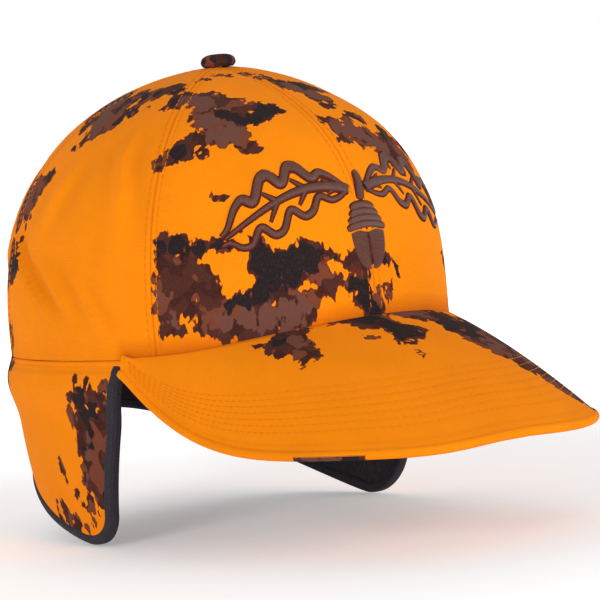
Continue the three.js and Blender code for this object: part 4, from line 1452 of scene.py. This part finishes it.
def leaf_strokes(side):
    """A leaf on a bowed rib: both lobed halves outlined, the upper one bolder, with side veins."""
    tilt = math.radians(LEAF_TILT)
    start = np.array([LEAF_START, LEAF_RISE])
    ahead = np.array([math.cos(tilt), math.sin(tilt)])
    upward = np.array([-ahead[1], ahead[0]])
    half = LEAF_HALF_WIDTH

    def at(s, out):
        """A point by its share along the rib, which bows up, and its distance from it."""
        bow = 7.0 * np.sin(np.pi * s**0.8) - 2.5 * s * s
        flat = start + np.outer(s * LEAF_LENGTH, ahead) + np.outer(out + bow, upward)
        return flat * np.array([side, 1.0])

    s, width = leaf_outline()
    ends = np.clip(np.minimum(s, 1 - s) / 0.3, 0, 1) ** 0.8
    spine = np.linspace(0.0, 0.97, 140)
    strokes = [
        (at(s, half * width), 1.1 + 2.9 * ends, 1.25),
        (at(s, -half * width), 1.0 + 1.6 * ends, 1.1),
        (at(spine, 0 * spine), np.linspace(4.0, 1.0, len(spine)), 1.3),
    ]
    t = np.linspace(0, 1, 40)
    for centre in LEAF_VEINS:
        reach = np.interp(centre + 0.1, s, width) * half * 0.58
        for sign in (1, -1):
            strokes.append((at(centre + 0.09 * t, sign * reach * t), 2.2 - 1.7 * t, 0.9))
    return strokes


def acorn_strokes():
    """A cup of stacked rows over a filled nut with a pale seam down it, on a curved stalk."""
    strokes = []
    t = np.linspace(-1, 1, 70)
    for k in range(CUP_ROWS):
        line = np.stack([(5.6 + 1.25 * k) * t, ACORN_TOP - 1.8 - 2.7 * k - 1.6 * t**2], -1)
        strokes.append((line, taper(len(t), 3.0, 0.4, 0.12), 1.2))
    t = np.linspace(0, 1, 110)
    belly = np.sqrt(np.clip(1 - t**2.2, 0.0, 1))
    for sign in (1, -1):
        line = np.stack([sign * (0.35 + 3.75 * belly), ACORN_TOP - 12.5 - 15.5 * t], -1)
        strokes.append((line, 7.6 * belly * np.clip(t / 0.04, 0.3, 1) + 0.5, 1.3))
    t = np.linspace(0, 1, 50)
    stalk = np.stack([-2.6 * np.sin(1.9 * t), ACORN_TOP + 0.5 + 12.0 * t], -1)
    strokes.append((stalk, taper(len(t), 3.2, 0.5, 0.2), 1.2))
    return strokes


def joined_strokes(name, strokes, node):
    """One object of several closed satin strokes, each on a slightly wider, low border."""
    parts = []
    for line, widths, height in strokes:
        layers = (("satin", widths, height), ("border", widths + SPRIG_BORDER, SPRIG_BORDER_HEIGHT))
        for key, layer_widths, layer_height in layers:
            rings = stroke(line, layer_widths, layer_height)
            parts.append(tube_object(f"{name}_part", rings, material(key)))
    join(parts, name)
    finish_piece(parts[0], "crown", [node])


def join(parts, name):
    """Joins objects into the first, which takes the name."""
    with bpy.context.temp_override(
        active_object=parts[0], selected_editable_objects=parts, selected_objects=parts
    ):
        bpy.ops.object.join()
    parts[0].name = name
    parts[0].data.name = name


def make_sprig():
    """Two leaves, one the mirror of the other, and the acorn between them."""
    joined_strokes("embroidered_leaf_right", leaf_strokes(1), "sprig_leaf_right")
    joined_strokes("embroidered_leaf_left", leaf_strokes(-1), "sprig_leaf_left")
    joined_strokes("embroidered_acorn", acorn_strokes(), "sprig_acorn")


# ---- Stage ----

VIEW_AZIMUTH = -35.4
VIEW_HEIGHT = 4.0
VIEW_ROLL = 5.3
VIEW_DISTANCE = 1.27
AIM_RIGHT = 0.032
AIM_UP = 0.0164
LENS = 172.0
FLOOR_Z = -81.5
FLOOR_REACH = 60000.0
FLOOR_GLOW = 0.3
WORLD_GLOW = 0.42
LIGHT_AIM = Vector((0, -0.02, 0.03))
LIGHTS = (
    ("key", (0.6, -2.0, 0.45), 22, 1.3),
    ("fill", (-2.0, -0.9, 0.7), 17.2, 0.8),
    ("back", (0.5, 1.6, 1.5), 10, 1.5),
)


def view_axes():
    """Direction to the camera, and the picture's right and up, for the cap's tilted pose."""
    a, e, roll = (math.radians(v) for v in (-VIEW_AZIMUTH, VIEW_HEIGHT, VIEW_ROLL))
    toward = Vector((-math.sin(a) * math.cos(e), -math.cos(a) * math.cos(e), math.sin(e)))
    right = Vector((math.cos(a), -math.sin(a), 0))
    up = toward.cross(right)
    return toward, math.cos(roll) * right - math.sin(roll) * up, math.sin(roll) * right + math.cos(roll) * up


def make_camera():
    """A long lens, aimed a little to the side of and above the frame's origin."""
    toward, right, up = view_axes()
    data = bpy.data.cameras.new("camera")
    data.lens = LENS
    data.clip_end = 100
    camera = add_object("camera", data)
    place = toward * VIEW_DISTANCE
    aim = right * AIM_RIGHT + up * AIM_UP
    back = (place - aim).normalized()
    side = up.cross(back).normalized()
    over = back.cross(side)
    turn = Matrix((side, over, back)).transposed()
    camera.matrix_world = Matrix.Translation(place) @ turn.to_4x4()
    bpy.context.scene.camera = camera


def make_light(name, place, energy, size):
    """A square lamp, in metres and watts, turned to the cap."""
    data = bpy.data.lights.new(name, "AREA")
    data.energy = energy
    data.size = size
    light = add_object(name, data)
    light.location = place
    light.rotation_euler = (LIGHT_AIM - Vector(place)).to_track_quat("-Z", "Y").to_euler()


def make_world():
    """White to look at, and dimmer as a light, so that the lamps give the cloth its shape."""
    world = bpy.data.worlds.new("studio")
    world.use_nodes = True
    tree = world.node_tree
    glow = tree.nodes["Background"]
    glow.inputs["Strength"].default_value = WORLD_GLOW
    seen = tree.nodes.new("ShaderNodeBackground")
    seen.inputs["Strength"].default_value = 1.0
    for node in (glow, seen):
        node.inputs["Color"].default_value = (1, 1, 1, 1)
    path = tree.nodes.new("ShaderNodeLightPath")
    mix = tree.nodes.new("ShaderNodeMixShader")
    tree.links.new(path.outputs["Is Camera Ray"], mix.inputs[0])
    tree.links.new(glow.outputs[0], mix.inputs[1])
    tree.links.new(seen.outputs[0], mix.inputs[2])
    tree.links.new(mix.outputs[0], tree.nodes["World Output"].inputs[0])
    bpy.context.scene.world = world


def make_floor():
    """A pale level square that glows more with distance, so that its edge is never seen."""
    points = np.array([[-1, -1, 0], [1, -1, 0], [1, 1, 0], [-1, 1, 0]]) * FLOOR_REACH
    points[:, 2] = FLOOR_Z
    s = Shader("pale_floor", (0.9, 0.9, 0.9), 0.95, 0.0, emission_color=(1, 1, 1, 1))
    place = s.node("TexCoord").outputs["Object"]
    away = s.node("VectorMath", {"operation": "LENGTH"}, i0=place).outputs["Value"]
    s.set(s.surface.inputs["Emission Strength"], s.ramp(away, 0.25, 1.1, FLOOR_GLOW, 1.0))
    s.paint(s.mix(s.noise(place, 3, 2), (0.89, 0.89, 0.89), (0.92, 0.92, 0.92)))
    mesh = bpy.data.meshes.new("floor")
    mesh.from_pydata((points * MM).tolist(), [], [(0, 1, 2, 3)])
    mesh.materials.append(s.material)
    add_object("floor", mesh)


def make_stage():
    """Camera, floor, pale surroundings and three soft lamps."""
    make_camera()
    make_floor()
    make_world()
    for light in LIGHTS:
        make_light(*light)
    bpy.context.scene.view_settings.view_transform = "Standard"


# ---- Operators and panel ----


def make_materials():
    """All the finishes, by short name."""
    c = colours()
    MATERIALS.update(
        twill=make_twill(),
        fleece=make_fleece(),
        binding=make_binding(),
        satin=make_satin(),
        thread=make_thread("orange_thread", shade(c.orange, 0.9)),
        border=make_thread("border_thread", shade(c.outline, 0.8)),
        jersey=make_jersey(),
        buckram=make_buckram(),
        board=make_board(),
        metal=make_metal(),
    )


def finish_hidden_nodes():
    """Better finishes for the frame's own solids that keep their shape."""
    for node, key in (("peak_board", "board"), ("button_rivet", "metal"), ("button_backing", "metal")):
        for slot in frame["nodes"][node].material_slots:
            slot.material = material(key)


class CAP_OT_materials(bpy.types.Operator):
    """Make the cloth, thread, binding and hidden finishes"""

    bl_idname = "cap.materials"
    bl_label = "Materials"

    def execute(self, context):
        make_materials()
        finish_hidden_nodes()
        return {"FINISHED"}


class CAP_OT_crown(bpy.types.Operator):
    """Make the six twill panels and their topstitching"""

    bl_idname = "cap.crown"
    bl_label = "Crown Panels"

    def execute(self, context):
        make_crown_panels()
        return {"FINISHED"}


class CAP_OT_lining(bpy.types.Operator):
    """Make the fleece lining and the front stiffeners"""

    bl_idname = "cap.lining"
    bl_label = "Lining"

    def execute(self, context):
        make_lining()
        return {"FINISHED"}


class CAP_OT_sweatband(bpy.types.Operator):
    """Make the folded jersey sweatband"""

    bl_idname = "cap.sweatband"
    bl_label = "Sweatband"

    def execute(self, context):
        make_sweatband()
        return {"FINISHED"}


class CAP_OT_hem(bpy.types.Operator):
    """Make the rolled hem round the sides and back"""

    bl_idname = "cap.hem"
    bl_label = "Rolled Hem"

    def execute(self, context):
        make_hem_band()
        return {"FINISHED"}


class CAP_OT_button(bpy.types.Operator):
    """Make the cloth-covered button"""

    bl_idname = "cap.button"
    bl_label = "Button"

    def execute(self, context):
        make_button()
        return {"FINISHED"}


class CAP_OT_peak(bpy.types.Operator):
    """Make the peak's covers and their rows of stitching"""

    bl_idname = "cap.peak"
    bl_label = "Peak"

    def execute(self, context):
        make_peak()
        return {"FINISHED"}


class CAP_OT_flap(bpy.types.Operator):
    """Make the ear and neck flap with its fleece and binding"""

    bl_idname = "cap.flap"
    bl_label = "Ear and Neck Flap"

    def execute(self, context):
        make_flap()
        return {"FINISHED"}


class CAP_OT_sprig(bpy.types.Operator):
    """Make the embroidered oak sprig"""

    bl_idname = "cap.sprig"
    bl_label = "Embroidered Sprig"

    def execute(self, context):
        make_sprig()
        return {"FINISHED"}


class CAP_OT_stage(bpy.types.Operator):
    """Make the floor, lights and camera"""

    bl_idname = "cap.stage"
    bl_label = "Stage"

    def execute(self, context):
        make_stage()
        return {"FINISHED"}


OPERATORS = (
    CAP_OT_materials,
    CAP_OT_crown,
    CAP_OT_lining,
    CAP_OT_sweatband,
    CAP_OT_hem,
    CAP_OT_button,
    CAP_OT_peak,
    CAP_OT_flap,
    CAP_OT_sprig,
    CAP_OT_stage,
)


class CAP_PT_panel(bpy.types.Panel):
    """Buttons for each piece, with the sizes and colours they use"""

    bl_label = "Winter Cap"
    bl_idname = "CAP_PT_panel"
    bl_space_type = "VIEW_3D"
    bl_region_type = "UI"
    bl_category = "Winter Cap"

    def draw(self, context):
        for operator in OPERATORS:
            self.layout.operator(operator.bl_idname)
        for group in (context.scene.cap_sizes, context.scene.cap_colours):
            for key in group.bl_rna.properties.keys():
                if key not in ("rna_type", "name"):
                    self.layout.prop(group, key)


CLASSES = (CapSizes, CapColours, *OPERATORS, CAP_PT_panel)


def register():
    """Registers the classes and adds the settings to the scene."""
    for cls in CLASSES:
        bpy.utils.register_class(cls)
    bpy.types.Scene.cap_sizes = bpy.props.PointerProperty(type=CapSizes)
    bpy.types.Scene.cap_colours = bpy.props.PointerProperty(type=CapColours)


def unregister():
    """Takes the settings and classes away again."""
    del bpy.types.Scene.cap_colours
    del bpy.types.Scene.cap_sizes
    for cls in reversed(CLASSES):
        bpy.utils.unregister_class(cls)


def main():
    """Makes every piece in order."""
    register()
    for operator in OPERATORS:
        group, name = operator.bl_idname.split(".")
        getattr(getattr(bpy.ops, group), name)()


if __name__ == "__main__":
    main()
